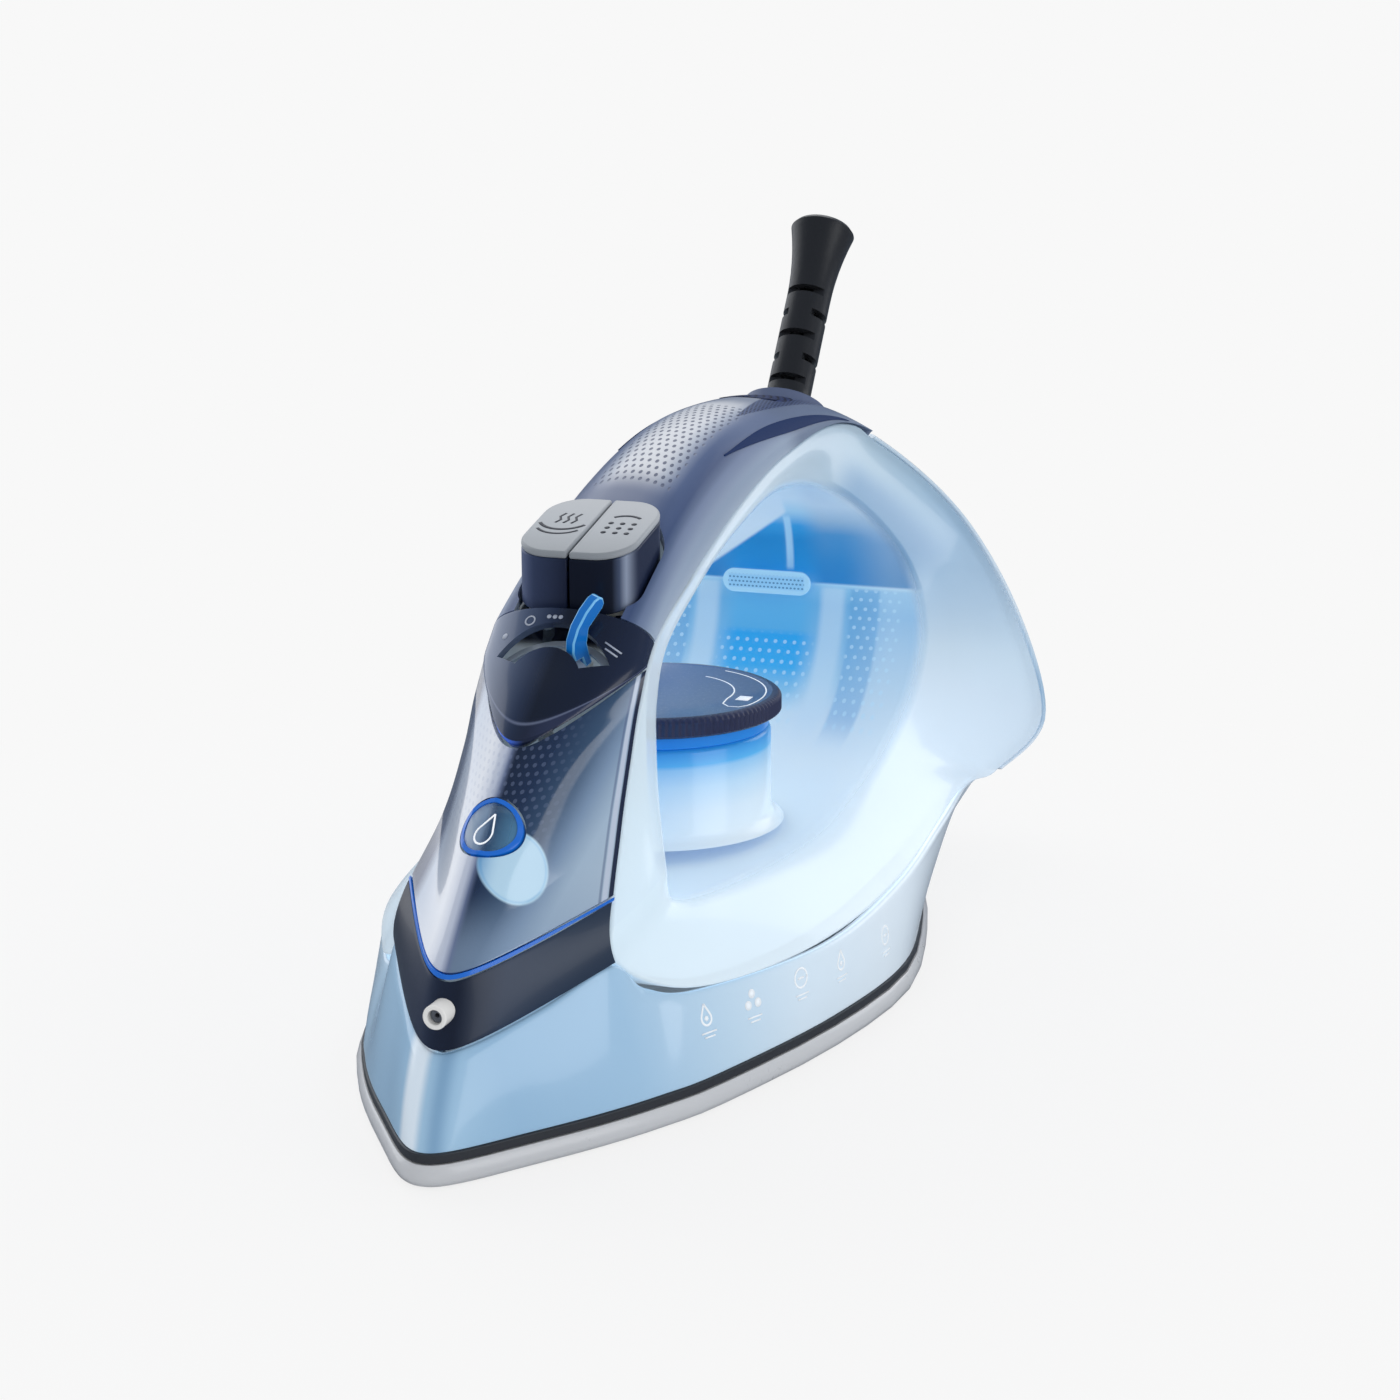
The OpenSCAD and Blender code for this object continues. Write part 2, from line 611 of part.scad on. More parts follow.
// Outline of the lever's fin: distance from the middle of the disc, and height.
fin_outline = [[8.5, -0.3], [12.4, -1.5], [12.7, 1.8], [14.3, 4.8], [18.9, 6.5], [19.8, 7.3], [19.9, 8.7],
    [19.2, 9.6], [17.8, 9.8], [14.9, 8.9], [11.6, 6.9], [9.4, 4.4], [8.5, 2]];
module steam_lever() {
    color("#1f74d8") stand(disc_centre, panel_slope) rotate([0, 0, 180 - lever_rest]) {
        translate([lever_radius - 1, -lever_thick / 2, arm_high])
            cube([2, lever_thick, foot_high - arm_high]);
        translate([0, lever_thick / 2, 0]) rotate([90, 0, 0])
            linear_extrude(lever_thick) polygon(fin_outline);
    }
}
module lever_cam() {
    color("white") stand(disc_centre, panel_slope) {
        translate([0, 0, -7.2]) cylinder(d = 5, h = arm_high + 7.2);
        translate([0, 0, arm_low]) rotate([0, 0, 180 - lever_rest])
            translate([0, -lever_thick / 2, 0]) cube([lever_radius + 1, lever_thick, arm_high - arm_low]);
    }
}
// Silver floor below the slot, with a slit for the lever's foot.
module lever_track() {
    reach = slot_span + 10;
    near = slot_inner - track_lap;
    far = slot_outer + track_lap;
    color("silver") stand(disc_centre, panel_slope) difference() {
        rotate([0, 0, 180 - reach / 2]) rotate_extrude(angle = reach)
            polygon([[near, -1], [far, -2.8], [far, -3.6], [near, -1.9]]);
        rotate([0, 0, 180 - slot_span / 2]) rotate_extrude(angle = slot_span)
            translate([lever_radius - track_slit / 2, -6]) square([track_slit, 8]);
    }
}

rod_low = 16;
rod_high = 74.6;
module valve_rod() {
    color("white") translate([valve_x, 0, rod_low]) cylinder(d = rod_d, h = rod_high - rod_low);
}
module valve_rod_seal() {
    color("#2b2b2e") translate([valve_x, 0, 27.6]) ring(10, rod_d + 2 * running_gap, 2.4);
}

// ---- Nose: nozzle housing, window and fill cap ----------------------------------

band_low_crest = [106.4, 0, 24.8];
band_low_edge = [73.8, 0, 34.8];
band_low_width = 24.3;
band_high_crest = [101.9, 0, 37.3];
window_crest = [[101.2, 0, 38.9], [85.5, 0, 57], [66.6, 0, 75]];
window_from = 0.38;
window_to = 3.54;
window_wall = 1.8;
window_rows = 14;
nose_slope = unit([0.74, 0, 0.67]);
band_wall = 2;
band_bow = 9;
nose_round = 0.32;

module nozzle_housing() {
    rows = [for (k = [0:4]) let (v = k / 4, u = window_from - 0.06)
        sheet_row(blend(band_low_crest, band_high_crest, v),
            blend(band_low_edge, edge_at(u) + [0.4, 0, 0], v) + [band_bow * v * (1 - v), 0, 0],
            blend(band_low_width, half_width_at(u), v), nose_round, 0, [-band_wall, 0, 0], band_wall)];
    color("#27345c") difference() {
        loft(rows, sheet = true);
        translate([90, 0, nozzle_z]) rotate([0, 90, 0]) cylinder(d = nozzle_d + 0.4, h = 30);
    }
}
nozzle_z = 31.8;
nozzle_d = 5;
module spray_nozzle() {
    color("white") translate([97, 0, nozzle_z]) rotate([0, 90, 0]) ring(nozzle_d, 3, 10.5);
}
module nozzle_jet() {
    color("#8a8f96") translate([97.5, 0, nozzle_z]) rotate([0, 90, 0]) ring(2.96, 0.9, 8.5);
}

module window_gasket() {
    rows = [for (k = [0:1]) let (u = window_from - 0.045 + 0.03 * k)
        sheet_row(blend([101.95, 0, 37.75], [101.65, 0, 38.65], k), edge_at(u), half_width_at(u) + 0.3,
            nose_round, 0, [-band_wall, 0, 0], band_wall)];
    color("#1060c8") loft(rows, sheet = true);
}

function window_row(v, out, wall) =
    let (u = blend(window_from, window_to, v), r = blend(nose_round, 0.45, sqrt(v)), shift = out * nose_slope)
    sheet_row(along(window_crest, 2 * v) + shift, edge_at(u) + shift, half_width_at(u), r, 0,
        -wall * blend([1 / nose_slope.x, 0, 0], nose_slope, v), wall);
module window_sheet(out, wall) {
    loft([for (k = [0:window_rows]) window_row(k / window_rows, out, wall)], sheet = true);
}
cap_centre = [80.4, 0, 62.6];
fill_cap_d = 13;
cap_hinge = 7.4;
module front_window() {
    color("#39486f", 0.6) difference() {
        window_sheet(0, window_wall);
        stand(cap_centre, nose_slope) translate([0, 0, -20]) cylinder(d = fill_cap_d + 0.8, h = 40);
        stand(cap_centre, nose_slope) translate([0, -2.4, -20]) cube([cap_hinge + 2.4, 4.8, 40]);
    }
}
module fill_cap() {
    color("#cfe6fa", 0.7) {
        intersection() {
            window_sheet(0.2, window_wall);
            stand(cap_centre, nose_slope) translate([0, 0, -20]) cylinder(d = fill_cap_d - 2, h = 40);
        }
    }
}
module fill_cap_seal() {
    color("#1060c8") {
        intersection() {
            window_sheet(0.5, window_wall);
            stand(cap_centre, nose_slope) translate([0, 0, -20]) ring(fill_cap_d, fill_cap_d - 1.9, 40);
        }
        stand(cap_centre, nose_slope) translate([fill_cap_d / 2 - 0.4, -2, -2.2]) {
            cube([cap_hinge - fill_cap_d / 2 + 0.4, 4, 1.6]);
            translate([cap_hinge - fill_cap_d / 2 + 0.4, 0, 0.8]) rotate([-90, 0, 0])
                cylinder(d = 1.6, h = 4);
        }
    }
}
funnel_axis = nose_slope;
funnel_bore = 9.6;
funnel_far = 18.8;
funnel_near = 6;
funnel_in = cap_centre - 26 * funnel_axis;
module fill_funnel() {
    color("#bfe0f5", 0.7) stand(cap_centre - funnel_far * funnel_axis, funnel_axis)
        ring(funnel_bore + 2.4, funnel_bore, funnel_far - funnel_near);
}

// ---- Dial, indicator and rear parts ---------------------------------------------

dial_low = 63.6;
module temperature_dial() {
    color("#26365e") translate([dial_x, 0, dial_low]) difference() {
        union() {
            cylinder(d = dial_d, h = dial_rim - 0.6);
            translate([0, 0, dial_rim - 0.6]) cylinder(d1 = dial_d, d2 = dial_d - 1.2, h = 0.6);
        }
        translate([0, 0, -1]) cylinder(d = spindle_d, h = 3);
    }
}
module dial_spindle() {
    foot = thermostat_z + 0.5;
    color("#c9ccd1") translate([dial_x, 0, foot]) cylinder(d = spindle_d, h = dial_low + 2 - foot);
}
module dial_collar() {
    color("#1878d8") translate([dial_x, 0, tower_top + 0.05]) difference() {
        cylinder(d = tower_d - 1, h = dial_low - tower_top - 0.4);
        translate([0, 0, -1]) cylinder(d = spindle_d + 2 * running_gap, h = 10);
    }
}

module indicator_lens() {
    color("#a9d6ff") translate([-96.6, 0, 77.5]) rotate([0, 90, 0]) {
        translate([-3, -8.5, 0]) cube([6, 17, 1.2]);
        for (s = [-1, 1]) translate([0, s * 8.5, 0]) cylinder(d = 6, h = 1.2);
    }
}
module indicator_lamp() {
    color("orange") translate([-108, 0, 77.5]) rotate([0, 90, 0]) {
        cylinder(d = 5, h = 6);
        translate([0, 0, 6]) sphere(d = 5);
    }
}

guard_axis = unit([-0.596, 0, 0.803]);
guard_foot = [-110.5, 0, 118.6];
turret_d = 21;
turret_depth = 14;
pivot_depth = 7;
pin_d = 3;
module swivel_turret() {
    color("#2b2d31") stand(guard_foot, guard_axis) difference() {
        translate([0, 0, -turret_depth]) cylinder(d = turret_d, h = turret_depth + 0.8);
        intersection() {
            translate([0, 0, -turret_depth - 1]) cylinder(d = turret_d - 2.2, h = turret_depth + 5);
            translate([-15, -guard_d / 2 - 0.3, -turret_depth - 1])
                cube([30, guard_d + 0.6, turret_depth + 5]);
        }
        translate([0, 15, -pivot_depth]) rotate([90, 0, 0]) cylinder(d = pin_d + 2 * running_gap, h = 30);
    }
}
module cord_guard() {
    r = guard_d / 2;
    flare = 8.2;
    color("#1b1b1d") stand(guard_foot - pivot_depth * guard_axis, guard_axis) difference() {
        union() {
            rotate_extrude() polygon(concat(
                [[0, 0], [r, 0], [r, 8], [r - 0.7, 12], [r - 0.7, guard_length - 14]],
                [for (k = [0:6]) let (t = k / 6) [blend(r - 0.7, flare, t * t), guard_length - 14 + 20 * t]],
                [[flare - 0.8, guard_length + pivot_depth], [0, guard_length + pivot_depth]]));
            translate([0, r, 0]) rotate([90, 0, 0]) cylinder(d = guard_d, h = guard_d);
            translate([0, turret_d / 2 - 0.6, 0]) rotate([90, 0, 0]) cylinder(d = pin_d, h = turret_d - 1.2);
        }
        translate([0, 0, -20]) cylinder(d = cord_passage_d, h = 100);
        for (k = [0:4], s = [-1, 1]) rotate([0, 0, 90 * k]) translate([s > 0 ? 3 : -13, -10, 13 + 6.4 * k])
            cube([10, 20, 1.9]);
    }
}
clamp_place = guard_foot - 22 * guard_axis;
module cord_clamp() {
    color("#d8d4c8") stand(clamp_place, guard_axis) difference() {
        translate([-7, -9, 0]) cube([14, 18, 5]);
        translate([0, 0, -1]) cylinder(d = cord_passage_d, h = 8);
        for (s = [-1, 1]) translate([0, s * 6.6, -1]) cylinder(d = 2, h = 8);
    }
}
block_place = [-128, 0, 44];
module terminal_block() {
    color("white") translate(block_place) difference() {
        translate([-6, -14, 0]) cube([12, 28, 12]);
        for (y = [-9, 0, 9]) {
            translate([-8, y, 4]) rotate([0, 90, 0]) cylinder(d = 3.4, h = 20);
            translate([0, y, 6]) cylinder(d = 3, h = 8);
        }
    }
}

// ---- Hoses and leads --------------------------------------------------------------

// A round tube of diameter d swept along a smooth route through the points p.
module hose(p, d, per = 4) {
    count = per * (len(p) - 1);
    path = [for (k = [0:count]) along(p, k / per)];
    loft([for (k = [0:count])
        let (t = unit(path[min(k + 1, count)] - path[max(k - 1, 0)]),
            b = unit(cross(t, [0.1, 1, 0])), c = cross(b, t))
        [for (g = [0:45:315]) path[k] + d / 2 * (b * cos(g) + c * sin(g))]]);
}
hose_d = 2.6;
spray_exit = [71, 9.5, 36.4];
burst_exit = [53, -10];
pump_outlet = [pump_x + outlet_step, pump_y, pump_floor - outlet_length - 0.1];
spray_route = [pump_outlet, pump_outlet + [0.3, 0, -3.4], [35.9, 7, 82.6], [39, 8, 76], [43, 9, 67],
    [48.5, 9.5, 56], [56, 9.8, 44.5], [64, 9.6, 37.6], spray_exit, [80, 7.5, 34.4], [90, 3, 32.2],
    [96.8, 0, 31.8]];
burst_high = [for (p = [0:5]) [spray_route[p].x, -spray_route[p].y, spray_route[p].z]];
burst_route = concat(burst_high, [for (z = [44, 35, 26, lid_z + 1.6]) [burst_exit.x, burst_exit.y, z]]);
module spray_hose() { color("#dfe9f2") hose(spray_route, hose_d); }
module burst_hose() { color("#dfe9f2") hose(burst_route, hose_d); }
lead_d = 2.2;
lead_exit_x = -106;
lead_route = [[-96.4, 2, 99.2], [-99, 2.6, 92], [-106, 3.6, 84.5], [-118, 5.5, 74], [-126, 7.5, 65],
    [-128, 9, 56.4]];
heater_lead = [[-128, 9, 43.6], [-125, 8, 38], [-112, 5, 34], [-105, 3.2, 27], [-99, 6, 18],
    [-90, heater_leg_y, 11.6], [heater_end_x - 0.2, heater_leg_y, heater_z]];
module mains_leads() {
    color("#c8402f") for (m = [0, 1]) mirror([0, m, 0]) {
        hose(lead_route, lead_d);
        hose(heater_lead, lead_d);
    }
}

soleplate();
heating_element();
steam_chamber_lid();
heat_shield();
soleplate_screws();
thermostat_body();
thermal_fuse();
steam_valve_seat();
lower_housing();
water_tank();
handle_underside();
rear_housing();
dial_collar();
temperature_dial();
dial_spindle();
rear_cover();
rear_cover_screws();
handle_shell();
grip_inlay_left();
grip_inlay_right();
rear_grip_patch();
control_panel();
nozzle_housing();
spray_nozzle();
nozzle_jet();
window_gasket();
front_window();
fill_funnel();
fill_cap();
fill_cap_seal();
steam_button();
steam_button_cap();
steam_piston();
steam_pump_cylinder();
steam_pump_spring();
spray_button();
spray_button_cap();
spray_piston();
spray_pump_cylinder();
spray_pump_spring();
steam_lever();
lever_cam();
lever_track();
valve_rod();
valve_rod_seal();
indicator_lens();
indicator_lamp();
swivel_turret();
cord_guard();
cord_clamp();
terminal_block();
spray_hose();
burst_hose();
mains_leads();
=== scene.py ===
import json
import logging
import math
from dataclasses import dataclass
from enum import Enum
from typing import Callable, Dict, List, Optional, Sequence, Set, Tuple

import bmesh
import bpy
from bmesh.types import BMesh, BMFace, BMVert
from bpy.types import Material, NodeSocket, NodeTree, Object
from mathutils import Matrix, Vector
from mathutils.bvhtree import BVHTree


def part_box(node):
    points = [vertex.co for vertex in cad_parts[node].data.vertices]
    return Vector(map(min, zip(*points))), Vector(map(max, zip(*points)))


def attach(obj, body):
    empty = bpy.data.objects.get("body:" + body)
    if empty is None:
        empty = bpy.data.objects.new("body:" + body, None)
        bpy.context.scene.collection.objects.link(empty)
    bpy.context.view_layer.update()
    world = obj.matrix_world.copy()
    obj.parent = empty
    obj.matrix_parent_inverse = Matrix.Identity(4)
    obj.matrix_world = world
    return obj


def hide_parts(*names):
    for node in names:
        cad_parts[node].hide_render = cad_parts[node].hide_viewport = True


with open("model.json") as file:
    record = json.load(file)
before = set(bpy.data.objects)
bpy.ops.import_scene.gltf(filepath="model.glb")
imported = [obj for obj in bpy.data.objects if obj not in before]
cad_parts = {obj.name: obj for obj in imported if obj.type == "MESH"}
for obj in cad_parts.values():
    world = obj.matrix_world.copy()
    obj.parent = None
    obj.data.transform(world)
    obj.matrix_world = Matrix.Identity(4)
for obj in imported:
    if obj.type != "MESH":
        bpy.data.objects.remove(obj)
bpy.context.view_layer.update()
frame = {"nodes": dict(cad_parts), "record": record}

LOG = logging.getLogger("iron")
MM = 0.001
DOUBLES_MM = 1e-4
NODE_DOUBLES = 2e-6
GRAIN_SCALE = 900.0

Point = Tuple[float, float, float]
Flat = Tuple[float, float]
Row = Sequence[float]
Ring = List[Vector]
Colour = Tuple[float, ...]
FULL_WIDTH = (1.0, -1.0)
UP = (0, 0, 1)
FORWARD = (1, 0, 0)
CAP_CENTRE = (80.4, 0, 62.6)
CAP_AXIS = (0.7413, 0, 0.6712)
CREASE = math.radians(40)


class Body(Enum):
    """The bodies of the frame that pieces ride on."""

    IRON = "iron_body"
    DIAL = "temperature_dial"
    LEVER = "steam_lever"
    STEAM = "steam_button"
    SPRAY = "spray_button"
    CAP = "fill_cap"
    TURRET = "swivel_turret"
    GUARD = "cord_guard"


# ---- Curves ----------------------------------------------------------------------


def blend(a: float, b: float, t: float) -> float:
    """Returns the value at share t of the way from a to b."""
    return a + (b - a) * t


def mix(a: Row, b: Row, t: float) -> Vector:
    """Returns the point at share t of the way from a to b."""
    return Vector(a).lerp(Vector(b), t)


def shares(count: int) -> List[float]:
    """Returns the shares from 0 to 1 in a number of even steps."""
    return [k / count for k in range(count + 1)]


def circle(radius: float, start: float, end: float, count: int, centre: Flat = (0.0, 0.0)) -> List[Flat]:
    """Returns points in even steps on part of a circle, between angles in degrees from the right."""
    turns = [math.radians(blend(start, end, v)) for v in shares(count)]
    return [(centre[0] + radius * math.cos(g), centre[1] + radius * math.sin(g)) for g in turns]


def spline(a: Row, b: Row, c: Row, d: Row, t: float) -> List[float]:
    """Returns a point between b and c on the smooth curve through four neighbours.

    Args:
        a, b, c, d: The neighbours, as rows of as many numbers each.
        t: The share of the way from b to c.

    Returns:
        The row of numbers at t.
    """
    return [
        0.5 * (2 * q + (r - p) * t + (2 * p - 5 * q + 4 * r - s) * t * t + (3 * q - p - 3 * r + s) * t**3)
        for p, q, r, s in zip(a, b, c, d)
    ]


def along(points: Sequence[Row], u: float) -> List[float]:
    """Returns the row at u, from 0 to len(points) - 1, on the open curve through the points."""
    last = len(points) - 1
    i = min(int(math.floor(u)), last - 1)
    return spline(points[max(i - 1, 0)], points[i], points[i + 1], points[min(i + 2, last)], u - i)


def around(points: Sequence[Row], u: float) -> List[float]:
    """Returns the row at u, from 0 to len(points), on the closed curve through the points."""
    i = int(math.floor(u))
    return spline(*(points[(i + k) % len(points)] for k in (-1, 0, 1, 2)), u - i)


def both_sides(half: Sequence[Row]) -> List[List[float]]:
    """Completes a half outline, from the tip to the middle of the heel, by its mirror image."""
    return [list(p) for p in half] + [[p[0], -p[1], *p[2:]] for p in reversed(half[1:-1])]


def inset(ring: Ring, depth: float) -> Ring:
    """Moves each point of a closed plan outline inwards by a depth and keeps its height.

    Args:
        ring: The outline.
        depth: How far the points move.

    Returns:
        The moved outline.
    """
    moved = []
    for k, p in enumerate(ring):
        side = ring[(k + 1) % len(ring)] - ring[k - 1]
        run = math.hypot(side.x, side.y)
        moved.append(Vector((p.x - side.y / run * depth, p.y + side.x / run * depth, p.z)))
    return moved


# ---- Meshes ----------------------------------------------------------------------


def new_mesh() -> BMesh:
    """Returns an empty bmesh with a layer for the places on each surface."""
    bm = bmesh.new()
    bm.loops.layers.uv.new("UVMap")
    return bm


def lay_rings(bm: BMesh, rings: Sequence[Ring], closed: bool = False, looped: bool = False) -> None:
    """Adds a skin through rings of points, in millimetres.

    Args:
        bm: The mesh that the skin is added to.
        rings: Rings of as many points each.
        closed: Whether each ring closes on itself.
        looped: Whether the last ring joins the first.
    """
    count, rows = len(rings[0]), len(rings)
    columns, steps = count - (not closed), rows - (not looped)
    made = bmesh.ops.create_grid(bm, x_segments=columns, y_segments=steps, size=0.5, calc_uvs=True)
    for vert in made["verts"]:
        i, k = round((vert.co.x + 0.5) * columns), round((vert.co.y + 0.5) * steps)
        vert.co = rings[k % rows][i % count]
    bmesh.ops.remove_doubles(bm, verts=made["verts"], dist=DOUBLES_MM)


def outwards(bm: BMesh, way: Optional[Row] = None) -> None:
    """Points all faces of a closed mesh outwards, or those of an open skin mostly along a direction."""
    bmesh.ops.recalc_face_normals(bm, faces=bm.faces)
    if way and sum(f.normal.dot(Vector(way)) for f in bm.faces) < 0:
        bmesh.ops.reverse_faces(bm, faces=bm.faces)


def skinned(rings: Sequence[Ring], way: Optional[Row] = None, closed: bool = False,
            looped: bool = False) -> BMesh:
    """Returns a mesh with a skin through rings, its faces outwards or mostly along a direction.

    Args:
        rings: Rings of as many points each.
        way: The direction that an open skin faces.
        closed: Whether each ring closes on itself.
        looped: Whether the last ring joins the first.

    Returns:
        The mesh.
    """
    bm = new_mesh()
    lay_rings(bm, rings, closed, looped)
    outwards(bm, way)
    return bm


def fill_holes(bm: BMesh) -> None:
    """Fills each open edge loop of a mesh with one face."""
    bmesh.ops.holes_fill(bm, edges=[e for e in bm.edges if e.is_boundary], sides=0)


def spin_profile(bm: BMesh, profile: Sequence[Flat], place: Matrix, steps: int = 96,
                 material: int = 0) -> None:
    """Turns a profile of radius and height, in millimetres, about +Z and sets it in its place.

    Args:
        bm: The mesh that gets the form.
        profile: Points of radius and height.
        place: Where the form stands.
        steps: How many steps the full turn has.
        material: The index of the form's material.
    """
    verts = [bm.verts.new((r, 0, z)) for r, z in profile]
    edges = [bm.edges.new(pair) for pair in zip(verts, verts[1:])]
    before = set(bm.faces)
    bmesh.ops.spin(bm, geom=verts + edges, cent=(0, 0, 0), axis=UP, angle=math.tau, steps=steps,
                   use_merge=True)
    for face in bm.faces:
        if face not in before:
            face.material_index = material
    bmesh.ops.remove_doubles(bm, verts=fresh_verts(bm, before), dist=DOUBLES_MM)
    bmesh.ops.transform(bm, matrix=place, verts=fresh_verts(bm, before))


def fresh_verts(bm: BMesh, before: Set[BMFace]) -> List[BMVert]:
    """Returns the vertices of the faces that weren't there before, each once and in order."""
    return list(dict.fromkeys(v for f in bm.faces if f not in before for v in f.verts))


def upright(point: Row, direction: Row = UP) -> Matrix:
    """Returns the place at a point whose +Z runs along a direction in the XZ plane."""
    tilt = math.atan2(direction[0], direction[2])
    return Matrix.Translation(Vector(point)) @ Matrix.Rotation(tilt, 4, "Y")


def on_plane(point: Row, up: Vector, off: Vector) -> Matrix:
    """Returns the place at a point whose +Y runs up a plane and whose +Z points off it."""
    return Matrix.Translation(point) @ Matrix((up.cross(off), up, off)).transposed().to_4x4()


def bore(place: Matrix, radius: float, segments: int = 96, depth: float = 40) -> BMesh:
    """Returns a round rod about a place's +Z, which carve cuts away.

    Args:
        place: Where the rod's middle lies.
        radius: Its radius in millimetres.
        segments: How many sides it has.
        depth: Its length in millimetres.

    Returns:
        The closed rod.
    """
    bm = bmesh.new()
    bmesh.ops.create_cone(bm, cap_ends=True, segments=segments, radius1=radius, radius2=radius, depth=depth,
                          matrix=place)
    return bm


def linked(name: str, data: bpy.types.ID) -> Object:
    """Returns a new object of the scene that shows the data."""
    obj = bpy.data.objects.new(name, data)
    bpy.context.scene.collection.objects.link(obj)
    return obj


class Shade(Enum):
    """How a finished piece is shaded."""

    SMOOTH = 180.0
    CREASED = 38.0
    CRISP = 24.0


@dataclass
class Piece:
    """A finished piece of the iron: a mesh with its name, body, materials and the nodes it stands for."""

    name: str
    slot: str
    materials: Sequence[Material]
    replaces: Sequence[str] = ()
    body: Body = Body.IRON
    shade: Shade = Shade.CREASED

    def finish(self, bm: BMesh, scale: float = MM, wall: float = 0.0, bevel: float = 0.0) -> Object:
        """Makes the object from a mesh and sets it on its body.

        Args:
            bm: The mesh.
            scale: The mesh's unit in metres.
            wall: The thickness in millimetres that the skin gets inwards, or 0.
            bevel: The width in millimetres of the bevel on sharp edges, or 0.

        Returns:
            The object, at the origin.
        """
        bmesh.ops.transform(bm, matrix=Matrix.Scale(scale, 4), verts=bm.verts)
        for face in bm.faces:
            face.smooth = True
        mesh = bpy.data.meshes.new(self.name)
        bm.to_mesh(mesh)
        bm.free()
        for material in self.materials:
            mesh.materials.append(material)
        if self.shade is not Shade.SMOOTH:
            mesh.set_sharp_from_angle(angle=math.radians(self.shade.value))
        obj = linked(self.name, mesh)
        if wall:
            shell = obj.modifiers.new("wall", "SOLIDIFY")
            shell.thickness, shell.offset, shell.use_even_offset = wall * MM, -1, True
        if bevel:
            edge = obj.modifiers.new("edge", "BEVEL")
            edge.width, edge.segments, edge.limit_method = bevel * MM, 3, "ANGLE"
            edge.angle_limit = CREASE
            # the bevel's faces take the last material: on the lever, a painted edge highlight
            edge.material = len(self.materials) - 1
        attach(obj, self.body.value)
        if self.replaces:
            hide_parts(*self.replaces)
        LOG.info("%s on %s, %d faces", self.name, self.body.value, len(mesh.polygons))
        return obj


def node_mesh(node: str) -> BMesh:
    """Returns a copy of a node's mesh with its doubles merged and its flat faces joined.

    Args:
        node: The node's name.

    Returns:
        The mesh, in metres.
    """
    bm = new_mesh()
    bm.from_mesh(frame["nodes"][node].data)
    bmesh.ops.remove_doubles(bm, verts=bm.verts, dist=NODE_DOUBLES)
    bmesh.ops.dissolve_limit(bm, angle_limit=math.radians(1.0), verts=bm.verts, edges=bm.edges)
    return bm


def carve(obj: Object, cutters: Sequence[BMesh]) -> None:
    """Cuts closed shapes, in millimetres, out of a piece and keeps the result as its mesh.

    Args:
        obj: The piece.
        cutters: The closed shapes, which are used up.
    """
    for k, cutter in enumerate(cutters):
        bmesh.ops.transform(cutter, matrix=Matrix.Scale(MM, 4), verts=cutter.verts)
        outwards(cutter)
        mesh = bpy.data.meshes.new("cutter")
        cutter.to_mesh(mesh)
        cutter.free()
        tool = linked("cutter", mesh)
        cut = obj.modifiers.new(f"cut{k}", "BOOLEAN")
        cut.operation, cut.solver, cut.object = "DIFFERENCE", "EXACT", tool
        graph = bpy.context.evaluated_depsgraph_get()
        carved = bpy.data.meshes.new_from_object(obj.evaluated_get(graph))
        obj.modifiers.clear()
        old, obj.data = obj.data, carved
        carved.name = obj.name
        bpy.data.meshes.remove(old)
        bpy.data.objects.remove(tool)
    obj.data.set_sharp_from_angle(angle=CREASE)


# ---- Finishes --------------------------------------------------------------------


